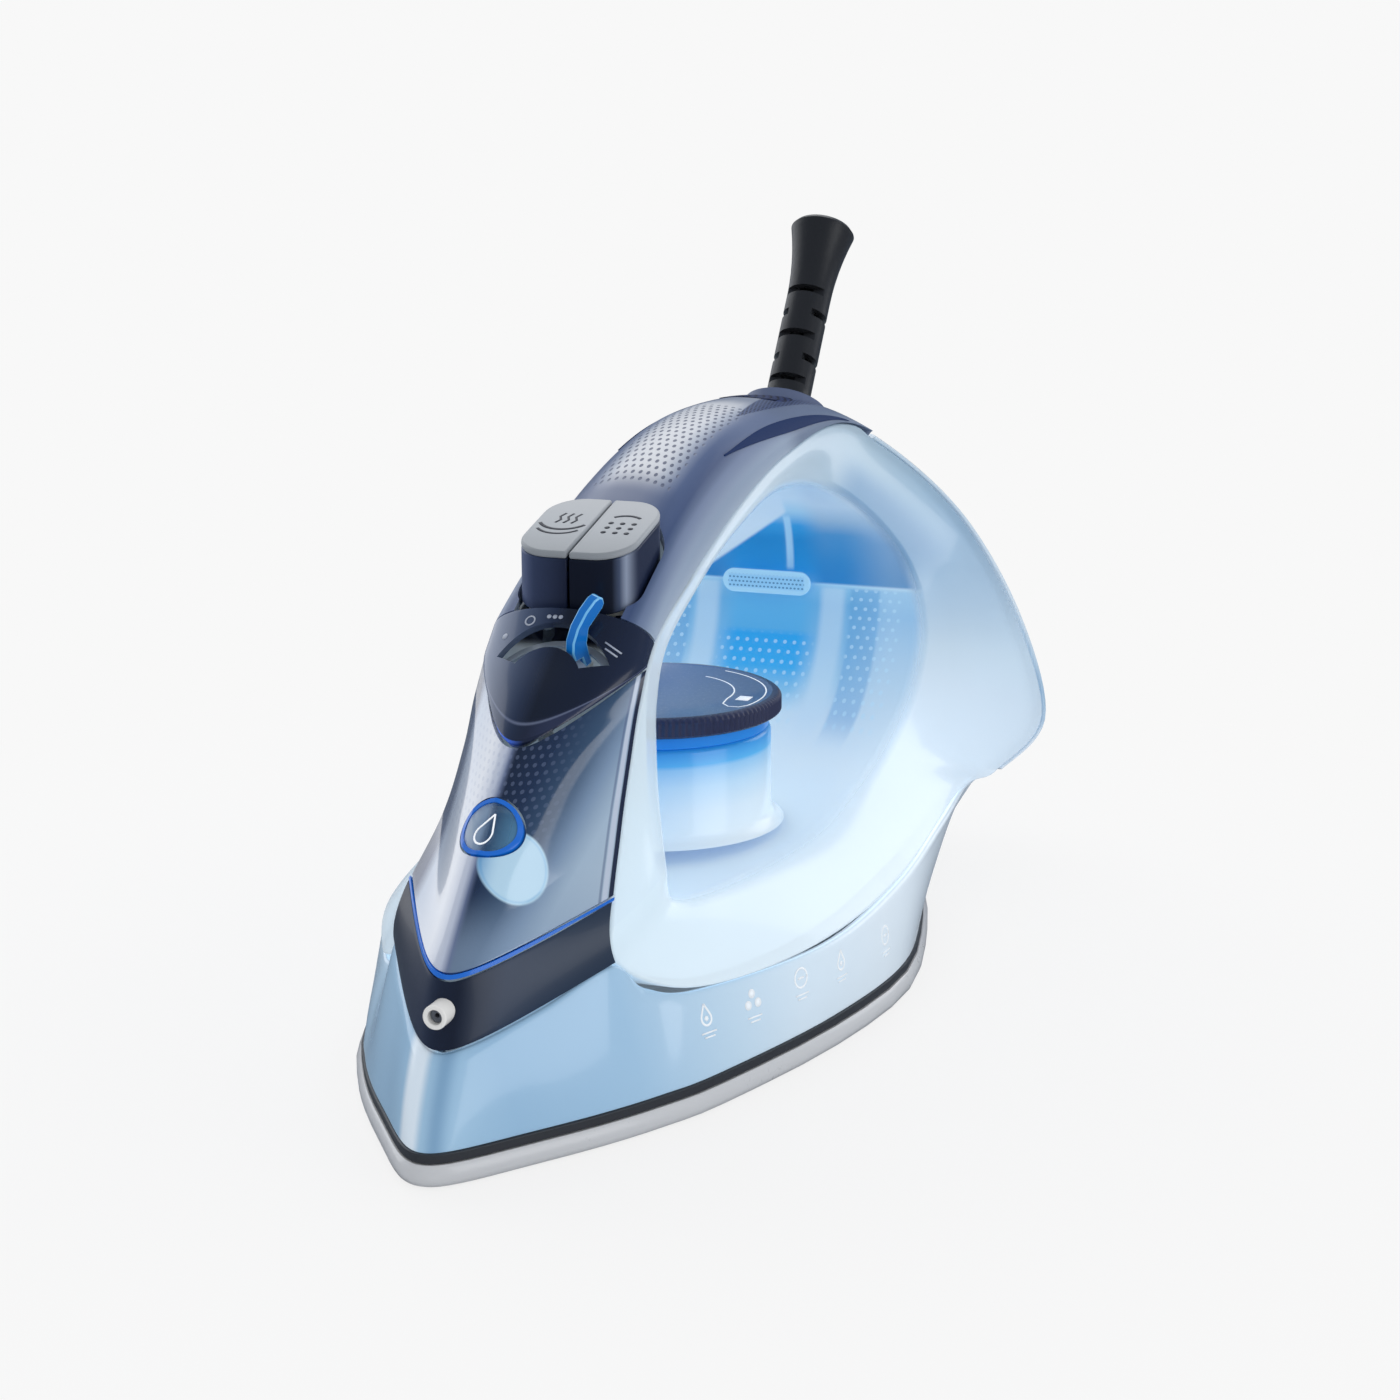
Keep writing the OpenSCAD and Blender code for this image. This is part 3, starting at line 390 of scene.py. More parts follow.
class Value:
    """A socket in a sheet, with arithmetic and masks that add nodes to it."""

    def __init__(self, sheet: "Sheet", socket: NodeSocket) -> None:
        """Keeps the sheet and the socket."""
        self.sheet, self.socket = sheet, socket

    def __add__(self, other: object) -> "Value":
        """Returns the sum with a value or number."""
        return self.sheet.math("ADD", self, other)

    def __sub__(self, other: object) -> "Value":
        """Returns the difference from a value or number."""
        return self.sheet.math("SUBTRACT", self, other)

    def __rsub__(self, other: float) -> "Value":
        """Returns a number less this value."""
        return self.sheet.math("SUBTRACT", other, self)

    def __mul__(self, other: object) -> "Value":
        """Returns the product with a value or number; of masks, where they meet."""
        return self.sheet.math("MULTIPLY", self, other)

    def share(self, low: float, high: float, **settings: str) -> "Value":
        """Returns the straight share of the way from low to high, kept between 0 and 1."""
        ends = {"Value": self, "From Min": low, "From Max": high}
        return self.sheet.put("ShaderNodeMapRange", "Result", ends, **settings)

    def step(self, low: float, high: float) -> "Value":
        """Returns 0 below low, 1 above high and a smooth step between; low may be the larger."""
        return self.share(low, high, interpolation_type="SMOOTHSTEP")

    def band(self, low: float, high: float, soft: float) -> "Value":
        """Returns 1 between low and high and 0 beyond them, with soft edges."""
        return self.step(low - soft, low + soft) * self.step(high + soft, high - soft)

    def colours(self, stops: Sequence[Tuple[float, str]]) -> "Value":
        """Returns the colour at this share, from stops of place and colour in rising order.

        Args:
            stops: Pairs of a place, from 0 to 1, and a colour.

        Returns:
            The colour.
        """
        node = self.sheet.tree.nodes.new("ShaderNodeValToRGB")
        elements = node.color_ramp.elements
        while len(elements) < len(stops):
            elements.new(0.5)
        for element, (_, code) in zip(elements, stops):
            element.color = (*srgb(code), 1.0)
        for element, (place, _) in zip(elements, stops):
            element.position = place
        self.sheet.feed(node.inputs["Fac"], self)
        return Value(self.sheet, node.outputs["Color"])

    def ramp(self, stops: Sequence[Tuple[float, str]]) -> "Value":
        """Returns the colour at this value, from stops of value and colour in rising order."""
        low, high = stops[0][0], stops[-1][0]
        return self.share(low, high).colours([((v - low) / (high - low), code) for v, code in stops])

    def under(self, colour: object, mask: "Value") -> "Value":
        """Returns this colour with another laid over it, as far as a mask says."""
        return self.sheet.mix(mask, self, colour)

    def scaled(self, share: object) -> "Value":
        """Returns this colour made brighter or darker by a share."""
        return self.sheet.put("ShaderNodeVectorMath", 0, {0: self, "Scale": share}, operation="SCALE")


class Sheet:
    """A node tree, with short ways to add and join its nodes."""

    def __init__(self, tree: NodeTree, material: Optional[Material] = None) -> None:
        """Keeps the tree, and the material that it belongs to."""
        self.tree, self.material = tree, material

    def feed(self, socket: NodeSocket, value: object) -> None:
        """Links a value to a socket, or sets the socket to a number, a row of numbers or a colour's code.

        Args:
            socket: The input that is fed.
            value: What it gets.
        """
        if isinstance(value, Value):
            self.tree.links.new(value.socket, socket)
        else:
            socket.default_value = (*srgb(value), 1.0) if isinstance(value, str) else value

    def put(self, kind: str, output: object, inputs: Dict[object, object], **settings: object) -> Value:
        """Adds a node and feeds its inputs.

        Args:
            kind: The node's kind.
            output: The name or number of the output that is used.
            inputs: What each input gets, by name or number.
            **settings: The node's properties.

        Returns:
            The output.
        """
        node = self.tree.nodes.new(kind)
        for key, value in settings.items():
            setattr(node, key, value)
        for key, value in inputs.items():
            self.feed(node.inputs[key], value)
        return Value(self, node.outputs[output])

    def math(self, operation: str, *values: object) -> Value:
        """Returns a maths node's result on one or two values or numbers."""
        return self.put("ShaderNodeMath", 0, dict(enumerate(values)), operation=operation)

    def mix(self, factor: Value, a: object, b: object) -> Value:
        """Returns the mixture of two colours by a factor."""
        return self.put("ShaderNodeMix", "Result", {"Factor": factor, "A": a, "B": b}, data_type="RGBA")

    def place(self) -> Value:
        """Returns the place on the object, in metres."""
        return self.put("ShaderNodeTexCoord", "Object", {})

    def axes(self) -> List[Value]:
        """Returns the three parts of the place on the object."""
        return self.parts(self.place())

    def parts(self, vector: Value) -> List[Value]:
        """Returns the three parts of a vector."""
        node = self.put("ShaderNodeSeparateXYZ", 0, {0: vector}).socket.node
        return [Value(self, socket) for socket in node.outputs]

    def surface(self) -> List[Value]:
        """Returns the shares of the way across and along a skin laid through rings."""
        return self.parts(self.put("ShaderNodeUVMap", "UV", {}, uv_map="UVMap"))[:2]

    def dots(self, across: Value, along_it: Value, wide: float, long: float) -> Value:
        """Returns a mask of staggered oval dots.

        Args:
            across: The place across the rows, one unit a dot.
            along_it: The place along the rows, one unit a row.
            wide: A dot's half width, as a share of its cell.
            long: A dot's half length, as a share of its cell.

        Returns:
            1 in a dot and 0 beside it.
        """
        given = {"Across": across, "Along": along_it, "Wide": wide, "Long": long}
        return self.put("ShaderNodeGroup", "Mask", given, node_tree=dot_group())

    def noise(self, **inputs: object) -> Value:
        """Returns a noise over the object."""
        return self.put("ShaderNodeTexNoise", "Fac", {"Vector": self.place(), **inputs})

    def bump(self, strength: float, distance: float, height: Value, **settings: object) -> Value:
        """Returns the normal of a fine relief."""
        given = {"Strength": strength, "Distance": distance, "Height": height}
        return self.put("ShaderNodeBump", "Normal", given, **settings)

    def wear(self, **inputs: object) -> Material:
        """Feeds the shader's inputs, named with _ for each space, and returns the material.

        Args:
            **inputs: What each input gets.

        Returns:
            The material.
        """
        shader = self.tree.nodes["Principled BSDF"]
        for key, value in inputs.items():
            self.feed(shader.inputs[key.replace("_", " ")], value)
        return self.material


def srgb(code: str) -> Colour:
    """Returns the linear colour of a hexadecimal code."""
    values = [int(code[k:k + 2], 16) / 255 for k in (1, 3, 5)]
    return tuple(v / 12.92 if v <= 0.04045 else ((v + 0.055) / 1.055) ** 2.4 for v in values)


def shared_group(name: str, inputs: Dict[str, Optional[float]], outputs: Sequence[str],
                 fill: Callable[[Sheet, Dict[str, Value]], Sequence[Value]]) -> NodeTree:
    """Returns a shared node group, made when it is first asked for.

    Args:
        name: The group's name.
        inputs: Its inputs, each with its default, which is never below 0, or None.
        outputs: Its outputs.
        fill: Adds the nodes between them and returns what each output gets.

    Returns:
        The group.
    """
    if name in bpy.data.node_groups:
        return bpy.data.node_groups[name]
    tree = bpy.data.node_groups.new(name, "ShaderNodeTree")
    for label, default in inputs.items():
        socket = tree.interface.new_socket(label, in_out="INPUT", socket_type="NodeSocketFloat")
        if default is not None:
            socket.default_value, socket.min_value = default, 0.0
    for label in outputs:
        tree.interface.new_socket(label, in_out="OUTPUT", socket_type="NodeSocketFloat")
    sheet, given = Sheet(tree), tree.nodes.new("NodeGroupInput").outputs
    out = tree.nodes.new("NodeGroupOutput")
    for label, value in zip(outputs, fill(sheet, {label: Value(sheet, given[label]) for label in inputs})):
        sheet.feed(out.inputs[label], value)
    return tree


def grain_group() -> NodeTree:
    """Returns the shared fine grain of moulded plastic: a roughness and a height that vary a little."""

    def fill(sheet: Sheet, given: Dict[str, Value]) -> Sequence[Value]:
        """Adds the grain's nodes."""
        fine = sheet.noise(Detail=3.0, Scale=given["Scale"])
        both = (fine + sheet.noise(Scale=28.0, Detail=4.0)) * 0.5
        return given["Roughness"] + (both - 0.5) * given["Spread"] * 2.0, fine

    return shared_group("moulded_grain", {"Scale": GRAIN_SCALE, "Roughness": 0.3, "Spread": 0.06},
                        ("Roughness", "Height"), fill)


def dot_group() -> NodeTree:
    """Returns the shared pattern of staggered oval dots."""

    def fill(sheet: Sheet, given: Dict[str, Value]) -> Sequence[Value]:
        """Adds the pattern's nodes."""
        odd = sheet.math("MODULO", sheet.math("FLOOR", given["Along"]), 2.0)
        parts = []
        for place, size in ((given["Across"] + odd * 0.5, given["Wide"]), (given["Along"], given["Long"])):
            inside = sheet.math("FRACT", place) - 0.5
            parts.append(sheet.math("POWER", sheet.math("DIVIDE", inside, size), 2.0))
        return [sheet.math("SQRT", parts[0] + parts[1]).step(1.12, 0.88)]

    return shared_group("staggered_dots", dict.fromkeys(("Across", "Along", "Wide", "Long")), ("Mask",), fill)


@dataclass(frozen=True)
class Finish:
    """A moulded or metal surface with a fine grain.

    The colour is one value, or a ramp between places along one axis of the frame. A glow makes the surface
    give off its own colour: painted light on every finish but the amber lamp.
    """

    name: str
    colour: str
    roughness: float = 0.3
    spread: float = 0.06
    metallic: float = 0.0
    coat: float = 0.0
    alpha: float = 1.0
    bump: float = 0.02
    ramp: Tuple[Tuple[float, str], ...] = ()
    ramp_axis: int = 0
    ramp_from: float = 0.0
    ramp_to: float = 1.0
    glow: float = 0.0
    gloss: float = 0.5

    def sheet(self) -> Sheet:
        """Starts the material and returns its sheet, ready for further marks."""
        material = bpy.data.materials.new(self.name)
        material.use_nodes = True
        sheet = Sheet(material.node_tree, material)
        colour = self.colour
        if self.ramp:
            place = sheet.axes()[self.ramp_axis]
            colour = place.share(self.ramp_from * MM, self.ramp_to * MM).colours(self.ramp)
        given = {"Scale": GRAIN_SCALE, "Roughness": self.roughness, "Spread": self.spread}
        rough = sheet.put("ShaderNodeGroup", "Roughness", given, node_tree=grain_group())
        height = Value(sheet, rough.socket.node.outputs["Height"])
        sheet.wear(Base_Color=colour, Metallic=self.metallic, Coat_Weight=self.coat, Coat_Roughness=0.06,
                   Specular_IOR_Level=self.gloss, Alpha=self.alpha, Roughness=rough,
                   Normal=sheet.bump(self.bump, 0.0004, height))
        # painted glow: the surface gives off its own colour, though only the amber lamp is a lamp
        if self.glow:
            sheet.wear(Emission_Color=colour, Emission_Strength=self.glow)
        return sheet


def skirt_look() -> Material:
    """Returns the glossy pearl blue of the skirt, paler towards the heel, with a painted highlight and
    painted shade on the ridge at its tip, and a painted glow.
    """
    sheet = Finish("pearl_blue", "#a9c7e2", roughness=0.2, coat=0.5, bump=0.0).sheet()
    x, y, _ = sheet.axes()
    body = x.ramp(((-0.135, "#dfecf7"), (-0.01, "#e0edf7"), (0.028, "#d3e4f1"), (0.05, "#bcd5e8"),
                   (0.075, "#9dc0dc"), (0.1, "#93b8d6"), (0.116, "#9fc2dc")))
    tip = x.step(0.09, 0.102)
    # painted highlight just left of the ridge at the tip, and painted shade just right of it
    body = body.under("#e6f0f8", tip * y.band(-0.007, -0.0016, 0.0012) * 0.8)
    body = body.under("#6d95b8", tip * y.band(0.0006, 0.0035, 0.0014) * 0.7)
    # painted glow: the skirt gives off its own colour, most along its top rim
    _, rise = sheet.surface()
    glow = body.scaled(rise.step(0.86, 0.9) * 0.45 + 0.12)
    return sheet.wear(Base_Color=body, Emission_Color=glow, Emission_Strength=1.0)


def window_look() -> Material:
    """Returns the tinted window with a painted reflection: a pale left facet, a dark crest that clears to the
    right, a painted highlight line by its right edge, and dots.
    """
    sheet = Finish("window_tint", "#141d3a", roughness=0.09, coat=0.8, alpha=0.96, bump=0.0).sheet()
    place = sheet.place()
    _, y, z = sheet.parts(place)
    turn = sheet.math("COSINE", sheet.surface()[0] * math.pi)
    # painted reflection on the right facet: dark by the crest, lighter towards the right and the bottom
    right = (y - (z - 0.055) * 0.25).ramp((
        (-0.004, "#101d36"), (0.002, "#1a2c4b"), (0.008, "#37506e"), (0.012, "#7f97b4"), (0.016, "#a9bfd4"),
        (0.024, "#b5c8da"))).under("#8ea5c0", z.step(0.053, 0.041) * 0.55)
    # painted reflection on the left facet: pale, almost white, darker at its far edge and towards the crest
    left = turn.ramp(((-1.0, "#2b3654"), (-0.86, "#39466a"), (-0.74, "#b9c6da"), (-0.3, "#e4e9f2"),
                      (-0.08, "#c6cfe2"), (0.0, "#6f7da0")))
    body = right.under(left, y.step(0.0012, -0.0006))
    mesh = sheet.dots(y * 700.0, z * 700.0, 0.24, 0.26)
    body = body.under("#8d9cc0", mesh * z.step(0.053, 0.064) * turn.step(0.7, 0.3) * 0.2)
    mouth = (0.0821, 0.0065, 0.0551)
    far = sheet.put("ShaderNodeVectorMath", "Value", {0: place, 1: mouth}, operation="DISTANCE")
    body = body.under("#bfe1f6", far.step(0.0079, 0.0072))
    body = body.under("#8fc4ea", far.band(0.0068, 0.0072, 0.0003) * 0.6)
    body = body.under("#3f8fcb", far.step(0.0079, 0.0072) * y.step(0.0045, -0.0005) * 0.7)
    # by the right edge: a dark line, then a painted highlight line, then the dark rim
    body = body.under("#5d6b8c", turn.band(0.915, 0.93, 0.005) * 0.6)
    body = body.under("#c3cfe2", turn.band(0.935, 0.965, 0.005))
    return sheet.wear(Base_Color=body.under("#1b2440", turn.step(0.968, 0.976)))


def hood_look() -> Material:
    """Returns the navy hood: a painted reflection makes it lighter left of its fold and near-black right of
    it, with a painted highlight line near its lower rim and a blue tip.
    """
    sheet = Finish("hood_navy", "#141b38", roughness=0.24, coat=0.35, bump=0.0).sheet()
    _, y, z = sheet.axes()
    _, rise = sheet.surface()
    # painted reflection: pale slate on the left, near-black right of the fold
    body = y.ramp(((-0.022, "#8590ac"), (-0.014, "#66748f"), (-0.008, "#45536f"), (-0.002, "#1f2c48"),
                   (0.0015, "#0b1428"), (0.01, "#0e1830"), (0.02, "#1c2844")))
    body = body.under("#2c3452", rise.step(0.2, 0.14) * y.step(-0.002, 0.006) * 0.8)
    # painted highlight line across the hood near its foot
    body = body.under("#7f8aa8", rise.band(0.155, 0.17, 0.01) * 0.55)
    body = body.under("#131c36", rise.step(0.055, 0.045) * y.step(-0.003, 0.002) * 0.8)
    blue = rise.step(0.035, 0.025) * y.band(-0.0085, 0.0, 0.002) * z.step(0.081, 0.079)
    return sheet.wear(Base_Color=body.under("#3b68d8", blue))


def handle_look() -> Material:
    """Returns the navy handle: pale along its crest and darker down its sides, with dark oval dimples on top,
    and a net of dots at its rear.
    """
    sheet = Finish("handle_navy", "#4d5a84", roughness=0.36, coat=0.06, bump=0.01, gloss=0.2).sheet()
    across, way = sheet.surface()
    side = sheet.math("ABSOLUTE", across - 0.5)
    body = side.ramp(((0.0, "#d6d9df"), (0.08, "#cdd1d9"), (0.125, "#a9b2c2"), (0.165, "#7885a1"),
                      (0.2, "#54658a"), (0.265, "#42547b"), (0.3, "#556789"), (0.325, "#6a7b9c"),
                      (0.36, "#7485a3"), (0.42, "#8c9db5"), (0.5, "#a4b3c6")))
    body = body.under("#4a5b80", way.step(0.33, 0.25) * side.step(0.27, 0.2) * 0.85)
    body = body.under("#7886a4", way.step(0.4, 0.6) * side.step(0.36, 0.3) * side.step(0.15, 0.2) * 0.6)
    body = body.under("#66748f", way.step(0.64, 0.72) * 0.75)
    dimples = sheet.dots(across * 30.0, way * 54.0, 0.22, 0.27) * (
        side.step(0.172, 0.16) * way.step(0.27, 0.29) * way.step(0.66, 0.63))
    body = body.under("#3a4665", dimples * 0.85)
    far = way - 0.6
    outer, inner = side - 0.155 - far * 0.38, side - 0.148 + far * 0.45
    net = outer.step(0.004, -0.004) * inner.step(-0.004, 0.004)
    net = net * way.step(0.595, 0.605) * way.step(0.87, 0.85)
    cells = sheet.dots(across * 60.0, way * 112.0, 0.34, 0.34)
    body = body.under(sheet.mix(cells, "#55658c", "#141d3a"), net)
    return sheet.wear(Base_Color=body, Normal=sheet.bump(0.5, 0.0005, dimples, invert=True))


def patch_look() -> Material:
    """Returns the dark patch with its fine grid."""
    sheet = Finish("grip_patch", "#141b34", roughness=0.5, gloss=0.1).sheet()
    across, way = sheet.surface()
    grid = sheet.dots(across * 9.0, way * 7.0, 0.36, 0.36)
    return sheet.wear(Base_Color=sheet.mix(grid, "#141b34", "#3c4a78"))


def loop_paint(sheet: Sheet) -> Tuple[Value, Value]:
    """Returns the colours deep in the loop's plastic, with painted shade on its flanks below the buttons, and
    1 on the face around the hand opening.

    Args:
        sheet: The sheet that the colours are made on.

    Returns:
        The colour and the mask.
    """
    x, y, z = sheet.axes()
    across, way = sheet.surface()
    wide, side = sheet.math("ABSOLUTE", y), sheet.math("MINIMUM", across, 1.0 - across)
    middle = z.ramp((
        (0.042, "#e0eff8"), (0.048, "#cfe6f4"), (0.052, "#8cc8ea"), (0.057, "#36b0ee"), (0.064, "#22a8ec"),
        (0.0655, "#58b3e6"), (0.072, "#61b9e8"), (0.076, "#7cc3ea"), (0.0805, "#2a9fe2"), (0.084, "#1090d4"),
        (0.088, "#0088cc"), (0.092, "#2a9cdc"), (0.096, "#aad5ed"), (0.1, "#d0e4f2")))
    beside = z.ramp((
        (0.042, "#e0eff8"), (0.048, "#cfe4f4"), (0.055, "#a9d2ec"), (0.062, "#86c0e6"), (0.072, "#6fb4e0"),
        (0.0762, "#8cc8ea"), (0.077, "#b3def5"), (0.0776, "#2888cc"), (0.083, "#308ccc"), (0.09, "#4894cc"),
        (0.094, "#9dbed9"), (0.098, "#c4d9ea")))
    outer = z.ramp((
        (0.042, "#dcecf7"), (0.055, "#c0dcf0"), (0.07, "#9fcaea"), (0.0762, "#a9d3ef"), (0.077, "#c9e6f7"),
        (0.0776, "#6f9fcb"), (0.088, "#83abd1"), (0.095, "#b3cce2"), (0.1, "#c9dbeb")))
    face = middle.under(beside, wide.step(0.0075, 0.015)).under(outer, wide.step(0.018, 0.033))
    face = face.under("#d3e6f4", (z - y * 0.71).step(0.0912, 0.0925) * y.step(0.006, 0.0045))
    face = face.under("#b9e2f8", y.band(0.0042, 0.006, 0.0004) * z.band(0.0805, 0.0945, 0.0008) * 0.75)
    below = z.step(0.0768, 0.0758) * z.step(0.043, 0.049)
    face = face.under("#cbe4f5", below * wide.band(0.0135, 0.0195, 0.0012) * 0.6)
    face = face.under("#5fa6da", below * wide.band(0.021, 0.0285, 0.0006) * 0.5)
    spots = sheet.dots(y * 400.0, z * 440.0, 0.2, 0.2)
    centre = z.step(0.065, 0.063) * wide.step(0.013, 0.011)
    patch = sheet.math("MAXIMUM", centre, wide.band(0.021, 0.034, 0.0006))
    face = face.under("#c3e6fb", spots * below * patch * 0.6)
    flank = way.ramp((
        (0.0, "#d6e6f0"), (0.07, "#d9e9f2"), (0.2, "#d9e7f0"), (0.34, "#d2e2ed"), (0.41, "#c0d5e4"),
        (0.45, "#b6cfdf"), (0.5, "#a6c6dd"), (0.53, "#9fc1dc"), (0.56, "#b4cfe5"), (0.6, "#c9dcea"),
        (0.63, "#d0e0ed"), (0.69, "#dae9f5"), (0.77, "#e0edf6"), (0.86, "#dfecf4"), (1.0, "#d8e8f1")))
    flank = flank.under("#7ba6cb", way.band(0.435, 0.535, 0.018) * side.step(0.265, 0.215) * 0.85)
    inner = side.step(0.2, 0.1)
    # painted shade: near-black on the flanks below the buttons, where a gap lies in shade
    pocket = (x.step(0.004, 0.006) * x.step(0.0405, 0.0395) * z.step(0.088, 0.0895)
              * wide.step(0.0168, 0.0162) * (1.0 - inner))
    return flank.under(face, inner).under("#0b1226", pocket), inner


def loop_looks() -> Tuple[Material, Material]:
    """Returns the loop's frosted outside, clear around the hand opening, and its deep blue inside, both with
    a painted glow.
    """
    sheet = Finish("frosted_blue", "#dceaf5", roughness=0.22, coat=0.4, bump=0.0).sheet()
    colour, inner = loop_paint(sheet)
    # painted glow, stronger low down, where the opening's floor lies in shade
    low = sheet.axes()[2].step(0.075, 0.045) * 0.14
    outside = sheet.wear(Base_Color=colour, Emission_Color=colour.scaled(low + 0.08), Emission_Strength=1.0,
                         Alpha=0.75 - inner * 0.68)
    sheet = Finish("tank_depth", "#cfe5f6", roughness=0.5, bump=0.0).sheet()
    colour, _ = loop_paint(sheet)
    # the inside's painted glow
    return outside, sheet.wear(Base_Color=colour, Emission_Color=colour, Emission_Strength=0.15)


def lens_look() -> Material:
    """Returns the pale lens, with a painted glow, and its rows of fine dots."""
    # painted glow on the lens
    sheet = Finish("lens_blue", "#a9daf6", roughness=0.25, coat=0.4, glow=0.15).sheet()
    low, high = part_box("indicator_lens")
    _, y, z = sheet.axes()
    field = (y.band(low.y + 1.6 * MM, high.y - 1.6 * MM, 0.0003)
             * z.band(low.z + 1.3 * MM, high.z - 1.3 * MM, 0.0003))
    dots = sheet.dots(y * 1000.0, z * 950.0, 0.3, 0.22)
    body = sheet.mix(field * 0.5, "#a9daf6", "#6fb6e6")
    return sheet.wear(Base_Color=body.under("#226fa8", dots * field))


def dial_look() -> Material:
    """Returns the navy top of the dial with its fine speckle."""
    sheet = Finish("dial_navy", "#1f3563", roughness=0.34, spread=0.1, coat=0.2, bump=0.06).sheet()
    body = sheet.axes()[1].ramp(((-0.028, "#5c7fa8"), (0.0, "#35639a"), (0.012, "#2b5587"),
                                 (0.028, "#1c3c6c")))
    return sheet.wear(Base_Color=body.under("#7d8eb4", sheet.noise(Scale=2200.0).step(0.6, 0.72) * 0.5))


def cover_look() -> Material:
    """Returns the pale cover behind the loop, bluer under its bulge, with a faint painted glow."""
    sheet = Finish("ice_cover", "#dceaf5", roughness=0.18, coat=0.6, alpha=0.8, bump=0.0).sheet()
    body = sheet.axes()[2].ramp(((0.024, "#dfe9f2"), (0.03, "#b4cfe6"), (0.037, "#a3c5e1"),
                                 (0.046, "#c3dbed"), (0.06, "#dbe9f4"), (0.12, "#cfe2f0")))
    # faint painted glow
    return sheet.wear(Base_Color=body, Emission_Color=body, Emission_Strength=0.04)


class Palette:
    """Every finish of the iron, each built once when it is first asked for."""

    # The glows of these finishes, but the amber lamp's, are painted glows.
    BRIGHT_BLUE = Finish("bright_blue", "#0a66cc", roughness=0.3, coat=0.3, glow=0.1)
    COLLAR = Finish("collar_blue", "#1484e0", roughness=0.3, coat=0.3, glow=0.12)
    DIAL_RIM = Finish("dial_rim", "#2c3252", roughness=0.4)
    INLAY = Finish("inlay_blue", "#17305f", roughness=0.5, bump=0.0, gloss=0.1)
    # The ramp across the band paints light and shade: a faint highlight left of its crest, darkest just right
    # of it, lighter again on the right flank.
    NOZZLE_BAND = Finish("band_navy", "#1b2a44", roughness=0.34, coat=0.1, bump=0.0, ramp_axis=1,
                         ramp_from=-22, ramp_to=22,
                         ramp=((0.0, "#121d33"), (0.4, "#1e2b45"), (0.49, "#131f38"), (0.56, "#0c1830"),
                               (0.72, "#243650"), (1.0, "#26364c")))
    TOWER = Finish("tower_ice", "#dceaf5", roughness=0.25, coat=0.3, bump=0.0, ramp_axis=2, ramp_from=38,
                   ramp_to=61, glow=0.16,
                   ramp=((0.0, "#e3f0f8"), (0.35, "#d3e6f4"), (0.6, "#b9d9f1"), (0.78, "#8fc4ec"),
                         (0.82, "#55aeea"), (1.0, "#1d87d8")))
    WHITE = Finish("nozzle_white", "#ecebe8", roughness=0.25, coat=0.3)
    JET = Finish("jet_grey", "#6f747c", roughness=0.35, metallic=0.4)
    CAP = Finish("cap_clear", "#8db4d0", roughness=0.1, coat=0.6, alpha=0.6, ramp_axis=1, ramp_from=-6,
                 ramp_to=6, ramp=((0.0, "#cfdff0"), (0.4, "#8fa9c8"), (0.55, "#2c4a70"), (1.0, "#5f9cc4")))
    # The ramp across the buttons paints light and shade: a lighter left face, dark at the split, and a
    # painted highlight near the right edge.
    BUTTON = Finish("button_navy", "#0d1526", roughness=0.34, coat=0.1, gloss=0.3, ramp_axis=1,
                    ramp_from=-13, ramp_to=13,
                    ramp=((0.0, "#5a678c"), (0.2, "#303d5d"), (0.48, "#17213b"), (0.5, "#0a1226"),
                          (0.86, "#0b1428"), (0.91, "#3c4a66"), (0.95, "#8a96ac"), (1.0, "#1a2440")))
    SILVER = Finish("button_silver", "#a6abb1", roughness=0.4, spread=0.08, ramp_from=9.5,
                    ramp_to=36.5, ramp=((0.0, "#b0b4b9"), (0.55, "#a3a9af"), (1.0, "#8c9298")))
    MARK = Finish("mark_dark", "#2b2f3a", roughness=0.5)
    MARK_WHITE = Finish("mark_white", "#f4f8fc", roughness=0.4, glow=0.25)
    MARK_SOFT = Finish("mark_soft", "#f2f7fb", roughness=0.4, glow=0.15, alpha=0.8)
    MARK_GREY = Finish("mark_grey", "#aab3c4", roughness=0.4)
    LEVER = Finish("lever_blue", "#0a6cc0", roughness=0.2, coat=0.6, glow=0.12)
    # painted highlight on the lever's bevelled edges
    LEVER_EDGE_HIGHLIGHT = Finish("lever_edge_highlight", "#6fb8ea", roughness=0.2, coat=0.6, glow=0.1)
    TRACK = Finish("track_silver", "#aebccb", roughness=0.3, metallic=0.15)
    CERAMIC = Finish("ceramic_sole", "#cfd1d4", roughness=0.3, coat=0.4, spread=0.1)
    SHIELD = Finish("shield_grey", "#34373c", roughness=0.45)
    RUBBER = Finish("black_rubber", "#222326", roughness=0.38, bump=0.08, spread=0.1)
    TURRET = Finish("turret_navy", "#5f6c8c", roughness=0.4, coat=0.1)
    STEEL = Finish("plain_steel", "#b4b6ba", roughness=0.35, metallic=1.0, spread=0.12)
    DARK_STEEL = Finish("heater_steel", "#6c6d70", roughness=0.45, metallic=1.0, spread=0.12)
    BRASS = Finish("brass", "#b98b46", roughness=0.35, metallic=1.0)
    IVORY = Finish("moulded_ivory", "#d8d4c8", roughness=0.45)
    HOSE = Finish("clear_hose", "#cfe2f0", roughness=0.25, alpha=0.6)
    LEAD = Finish("red_lead", "#b03a2c", roughness=0.4)
    AMBER = Finish("amber_lamp", "#f0a030", roughness=0.1, glow=0.3)

    def __init__(self) -> None:
        """Builds the looks that carry a pattern of their own."""
        self.made: Dict[str, Material] = {}
        self.skirt = skirt_look()
        self.window = window_look()
        self.hood = hood_look()
        self.dial = dial_look()
        self.cover = cover_look()
        self.handle = handle_look()
        self.patch = patch_look()
        self.loop, self.depth = loop_looks()
        self.lens = lens_look()

    def get(self, finish: Finish) -> Material:
        """Returns the material of a finish."""
        if finish.name not in self.made:
            self.made[finish.name] = finish.sheet().material
        return self.made[finish.name]


# ---- The loop around the hand opening --------------------------------------------


